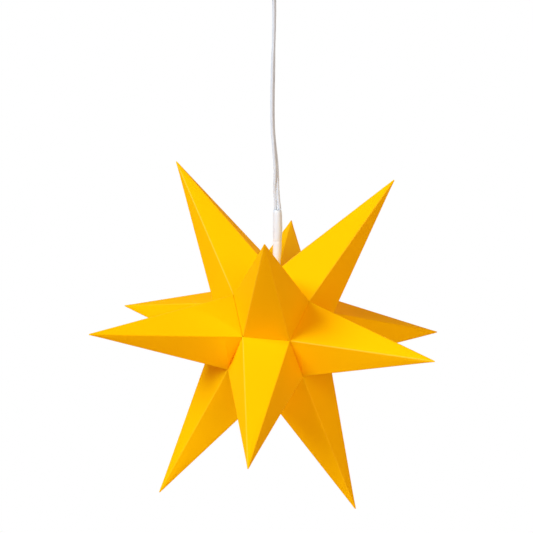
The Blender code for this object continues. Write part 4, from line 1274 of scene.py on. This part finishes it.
class STAR_OT_fit_board(bpy.types.Operator):
    """Fits the circuit board with its chip, its small parts, its screws and its two leads"""

    bl_idname = "christmas_star.fit_board"
    bl_label = "Fit the board"

    half_width, low, high, thickness, corner, edge = 20, -79.9, -72.3, 1, 0.5, 0.03
    screw_xs, screw_hole = (-17, 6), 1.15
    chip_low, chip_high = (-9, 4.5, -78), (-4, 5.9, -74)
    chip_rounding, pin_pitch, pin_section = 0.18, 1.27, (0.42, 0.14)
    # Middle of each small part on the board, sideways and up, and what it is
    small_parts = (
        (-12.6, -75, "moulded_epoxy"),
        (-12.6, -77, "moulded_epoxy"),
        (3.3, -78.9, "fired_ceramic"),
    )
    small_half, small_depths, small_rounding = (0.55, 0.4), (0.45, 0.02), 0.04
    caps, cap_half, cap_depth, cap_rounding = ((-0.95, -0.56), (0.56, 0.95)), 0.43, 0.5, 0.06
    copper = 0.04
    # Tracks as the two corners of a bar, sideways and up
    tracks = (
        (-2.9, -73.3, 9.6, -72.9), (-3.4, -79, -3, -72.9), (4.3, -79.1, 9.6, -78.7),
        (-11.6, -75.2, -9.8, -74.8), (-11.6, -77.2, -9.8, -76.8), (-15, -75.2, -13.6, -74.8),
        (-15, -77.2, -13.6, -76.8),
    )  # fmt: skip
    # Radius and height from under a screw's head, in mm
    screw = (
        (0.35, -2.8), (0.85, -2.3), (0.85, 0), (1.75, 0), (1.8, 0.05), (1.8, 0.6), (1.66, 0.9), (1.3, 1.1),
        (0.7, 1.2),
    )  # fmt: skip
    recess_half, recess_half_width, recess_from = 1.05, 0.22, 0.55
    lead_offset, lead_radius, lead_start = 1.05, 0.8, -82.7
    lead_line = ((0, 0), (0, 2.2), (0.3, 4.2), (2, 6.3), (4.4, 7.2), (6, 7.2))  # to the back, and up
    joint = ((0.98, 0), (0.96, 0.1), (0.9, 0.16), (0.82, 0.19))

    def execute(self, context):
        h = in_mm(context.scene.holder_sizes)
        y = h.board_front
        low, high = (-self.half_width, y, self.low), (self.half_width, y + self.thickness, self.high)
        mesh = rounded_box(low, high, self.corner, self.edge, along=1)
        board = add_piece("etched_board", mesh, "holder", "solder_resist", "circuit_board")
        for x in self.screw_xs:
            hole = ((x, y - OVER, h.screw_z), (x, y + self.thickness + OVER, h.screw_z))
            cut(board, rod(self.screw_hole, *hole))
        bars = [block((x0, y - self.copper, z0), (x1, y, z1)) for x0, z0, x1, z1 in self.tracks]
        add_piece("board_tracks", joined(bars), "holder", "resist_over_copper", "circuit_board")
        self.fit_chip(y)
        for number, (x, z, surface) in enumerate(self.small_parts, 1):
            self.fit_small_part(number, x, y, z, surface)
        for number, x in enumerate(self.screw_xs, 1):
            self.drive_screw(number, x, y - h.gap, h.screw_z)
        for number, x in ((1, -self.lead_offset), (2, self.lead_offset)):
            self.run_lead(f"board_lead_{number}", x, y)
        return {"FINISHED"}

    def fit_chip(self, y):
        """The timer chip: a black body with four bent legs on each long side."""
        body = block(self.chip_low, self.chip_high, self.chip_rounding)
        add_piece("timer_chip_body", body, "holder", "moulded_epoxy", "timer_chip")
        middle = (self.chip_low[0] + self.chip_high[0]) / 2
        bends = ((5.2, 0), (5.2, 0.3), (5.4, 0.42), (5.95, 0.5), (y - 0.08, 0.62), (y - 0.08, 1))
        legs = []
        for edge, out in ((self.chip_low[2], -1), (self.chip_high[2], 1)):
            for pin in (-1.5, -0.5, 0.5, 1.5):
                x = middle + self.pin_pitch * pin
                path = [(x, depth, edge + out * reach) for depth, reach in bends]
                legs.append(swept(path, rectangle(*self.pin_section), (1, 0, 0)))
        add_piece("timer_chip_legs", joined(legs), "holder", "tin_solder", "timer_chip")

    def fit_small_part(self, number, x, y, z, surface):
        """A small part with a soldered end cap on both sides."""
        (half, tall), (front, back) = self.small_half, self.small_depths
        low, high = (x - half, y - front, z - tall), (x + half, y - back, z + tall)
        add_piece(f"board_part_{number}", block(low, high, self.small_rounding), "holder", surface)
        caps = []
        for start, end in self.caps:
            low = (x + start, y - self.cap_depth, z - self.cap_half)
            caps.append(block(low, (x + end, y, z + self.cap_half), self.cap_rounding))
        add_piece(f"board_part_{number}_caps", joined(caps), "holder", "tin_solder")

    def drive_screw(self, number, x, y, z):
        """A pan-head screw with a crossed recess."""
        mesh = turned(self.screw, (x, y, z), (0, -1, 0), sides=32)
        name = f"cross_head_screw_{number}"
        screw = add_piece(name, mesh, "holder", "zinc_plated_steel", f"board_screw_{number}")
        long, short = self.recess_half, self.recess_half_width
        front, deep = y - self.screw[-1][1] - OVER, y - self.recess_from
        for across, up in ((long, short), (short, long)):
            cut(screw, block((x - across, front, z - up), (x + across, deep, z + up)))

    def run_lead(self, node, x, y):
        path = smooth_line([(x, back, self.lead_start + up) for back, up in self.lead_line], 24)
        mesh = swept(path, circle(self.lead_radius, 20), (1, 0, 0))
        add_piece(f"insulated_{node}", mesh, "holder", "soft_pvc_insulation", node)
        joint = turned(self.joint, (x, y, self.lead_start + self.lead_line[-1][1]), (0, -1, 0), sides=24)
        add_piece(f"{node}_joint", joint, "holder", "tin_solder", node)


class STAR_OT_fit_switch(bpy.types.Operator):
    """Fits the slide switch, whose knob comes out at the bottom"""

    bl_idname = "christmas_star.fit_switch"
    bl_label = "Fit the switch"

    low, high = (10.2, 0.8, -78.2), (19.8, 5.9, -74.5)
    pins, pin_section = (12.5, 15, 17.5), (0.8, 0.25)
    slider = (13, 3)  # middle of the knob, sideways and to the back
    knob = ((-2.25, -1.5, -84.1), (2.25, 1.5, -82.3))
    stem = ((-1.2, -1, -82.8), (1.2, 1, -79.1))
    flange = ((-1.8, -1.7, -79.6), (1.8, 1.7, -78.5))
    ridge, ridges = ((-0.22, -1.1, -84.35), (0.22, 1.1, -83.9)), (-1.2, 0, 1.2)
    housing_rounding, flange_rounding, ridge_rounding = 0.25, 0.1, 0.15
    knob_corner, knob_rim = 0.5, 0.3

    def execute(self, context):
        board = context.scene.holder_sizes.board_front / MM
        housing = block(self.low, self.high, self.housing_rounding, segments=3)
        add_piece("moulded_switch_housing", housing, "holder", "moulded_nylon", "switch_housing")
        bends = ((4.2, -74.7), (4.2, -74.3), (4.5, -74), (board - 0.3, -73.9), (board - 0.03, -73.9))
        pins = [swept([(x, *b) for b in bends], rectangle(*self.pin_section), (1, 0, 0)) for x in self.pins]
        add_piece("switch_pins", joined(pins), "holder", "tin_solder", "switch_housing")
        mesh = rounded_box(*self.beside(self.knob), self.knob_corner, self.knob_rim)
        slider = add_piece("ridged_slider", mesh, "switch", "moulded_nylon", "switch_slider")
        flange = block(*self.beside(self.flange), self.flange_rounding)
        fuse(slider, block(*self.beside(self.stem)), flange)
        for x in self.ridges:
            fuse(slider, block(*self.beside(self.ridge, x), self.ridge_rounding))
        return {"FINISHED"}

    def beside(self, corners, x=0):
        """A box's two corners, moved to where the slider stands."""
        return [Vector(corner) + Vector((self.slider[0] + x, self.slider[1], 0)) for corner in corners]


class STAR_OT_fit_gland(bpy.types.Operator):
    """Fits the soft gland that the lead hangs from"""

    bl_idname = "christmas_star.fit_gland"
    bl_label = "Fit the gland"

    # Radius and height, in mm. Its mouth flares so that the lead can swing.
    profile = (
        (2.7, -79.1), (5.1, -79.1), (5.4, -79.25), (5.5, -79.5), (5.5, -80.1), (4, -80.1), (4, -82.3),
        (6.7, -82.3), (6.9, -82.5), (6.88, -83.1), (6.75, -83.25), (6.45, -83.35), (6.45, -83.75),
        (6.7, -83.85), (6.82, -84), (6.7, -84.75), (6.55, -84.9), (6.25, -85), (6.22, -85.4),
        (6.48, -85.5), (6.55, -85.65), (6.25, -87.3), (6.1, -87.65), (5.85, -87.9), (5.5, -88),
        (5.2, -88), (5, -87.93), (3.88, -85.8), (2.95, -83.95), (2.76, -83.5), (2.7, -83),
    )  # fmt: skip

    def execute(self, context):
        mesh = turned(self.profile, sides=64, loop=True)
        add_piece("flared_gland", mesh, "holder", "soft_pvc_gland", "lead_gland")
        return {"FINISHED"}


# Stage


class STAR_OT_set_stage(bpy.types.Operator):
    """Sets the floor, the lights and the camera"""

    bl_idname = "christmas_star.set_stage"
    bl_label = "Set the stage"

    # The camera that the photograph was taken with, found from the star's corners
    camera_place = (104.8 * MM, -1251.4 * MM, -137.8 * MM)
    camera_turn = (math.radians(84.5), 0, math.radians(5))
    lens, sensor = 133.94, 36.0
    nearest, farthest = 0.05, 50.0
    floor_half = 6  # metres
    fade = {"From Min": 0.25, "From Max": 0.75, "To Min": 0.35, "To Max": 1.0}  # metres away, share of white
    white = {"Color": (1, 1, 1, 1), "Strength": 1.0}

    def execute(self, context):
        stage = context.scene.stage_settings
        self.add_camera(context)
        self.add_floor(stage)
        self.add_world(context, stage)
        for name in ("key", "side", "back"):
            self.add_light(name, stage)
        context.scene.view_settings.view_transform = "Standard"
        return {"FINISHED"}

    def add_object(self, name, data):
        shown = bpy.data.objects.new(name, data)
        bpy.context.collection.objects.link(shown)
        return shown

    def add_camera(self, context):
        data = bpy.data.cameras.new("camera")
        data.lens, data.sensor_width = self.lens, self.sensor
        data.clip_start, data.clip_end = self.nearest, self.farthest
        camera = self.add_object("camera", data)
        camera.location, camera.rotation_euler = self.camera_place, self.camera_turn
        context.scene.camera = camera

    def add_floor(self, stage):
        """A pale floor well below the star. Far from it, the floor fades into the white background."""
        bm = bmesh.new()
        bmesh.ops.create_grid(bm, x_segments=1, y_segments=1, size=self.floor_half)
        floor = self.add_object("floor", finish_mesh(bm))
        floor.location.z = stage.floor_z
        material = bpy.data.materials.new("painted_floor")
        tree = empty_tree(material)
        spot = add_node(tree, "TexCoord", output="Object")
        away = add_node(tree, "VectorMath", {0: spot}, "Value", operation="LENGTH")
        fade = add_node(tree, "MapRange", {"Value": away, **self.fade}, interpolation_type="SMOOTHSTEP")
        factor = add_node(tree, "Math", {0: fade, 1: self.seen_by_eye(tree)}, operation="MULTIPLY")
        paint = add_node(tree, "BsdfDiffuse", {"Color": rgba(stage.floor)})
        white = add_node(tree, "Emission", self.white)
        surface = add_node(tree, "MixShader", {0: factor, 1: paint, 2: white})
        add_node(tree, "OutputMaterial", {"Surface": surface})
        floor.data.materials.append(material)

    def seen_by_eye(self, tree):
        """1 for rays from the camera, and for those that a mirror or glass sends on."""
        seen = add_node(tree, "LightPath", output="Is Camera Ray")
        for kind in ("Is Glossy Ray", "Is Transmission Ray"):
            ray = add_node(tree, "LightPath", output=kind)
            seen = add_node(tree, "Math", {0: seen, 1: ray}, operation="MAXIMUM")
        return seen

    def add_world(self, context, stage):
        context.scene.world = bpy.data.worlds.new("studio")
        tree = empty_tree(context.scene.world)
        fill = add_node(tree, "Background", {"Color": rgba(stage.fill_colour), "Strength": stage.fill})
        white = add_node(tree, "Background", self.white)
        surface = add_node(tree, "MixShader", {0: self.seen_by_eye(tree), 1: fill, 2: white})
        add_node(tree, "OutputWorld", {"Surface": surface})

    def add_light(self, name, stage):
        """One of the lights: a broad key, a softer one from the side, or a weak one from behind."""
        data = bpy.data.lights.new(name, "SUN")
        data.energy = getattr(stage, name) * math.pi
        data.color = getattr(stage, f"{name}_colour")
        data.angle = getattr(stage, f"{name}_softness")
        height, turn = getattr(stage, f"{name}_height"), getattr(stage, f"{name}_azimuth")
        self.add_object(name, data).rotation_euler = (math.pi / 2 - height, 0, turn)


class STAR_PT_panel(bpy.types.Panel):
    """Lists the steps that build the star"""

    bl_label = "Christmas star"
    bl_idname = "STAR_PT_panel"
    bl_space_type = "VIEW_3D"
    bl_region_type = "UI"
    bl_category = "Christmas star"

    def draw(self, context):
        for operator in STEPS:
            self.layout.operator(operator.bl_idname)
        for group in GROUPS:
            values = getattr(context.scene, group)
            box = self.layout.box()
            for key in values.__annotations__:
                box.prop(values, key)


STEPS = (
    STAR_OT_set_stage,
    STAR_OT_run_lead,
    STAR_OT_fold_spikes,
    STAR_OT_shrink_sleeve,
    STAR_OT_fit_lamp,
    STAR_OT_bend_loop,
    STAR_OT_mould_holder,
    STAR_OT_hang_cover,
    STAR_OT_load_cells,
    STAR_OT_fit_board,
    STAR_OT_fit_switch,
    STAR_OT_fit_gland,
)
GROUPS = {
    "star_sizes": StarSizes,
    "lead_sizes": LeadSizes,
    "holder_sizes": HolderSizes,
    "lamp_sizes": LampSizes,
    "finish_colours": FinishColours,
    "stage_settings": StageSettings,
}


def register():
    for name, group in GROUPS.items():
        bpy.utils.register_class(group)
        setattr(bpy.types.Scene, name, PointerProperty(type=group))
    for step in (*STEPS, STAR_PT_panel):
        bpy.utils.register_class(step)


def unregister():
    for step in (STAR_PT_panel, *reversed(STEPS)):
        bpy.utils.unregister_class(step)
    for name, group in reversed(GROUPS.items()):
        delattr(bpy.types.Scene, name)
        bpy.utils.unregister_class(group)


def main():
    register()
    for step in STEPS:
        getattr(bpy.ops.christmas_star, step.bl_idname.split(".")[1])()


if __name__ == "__main__":
    main()
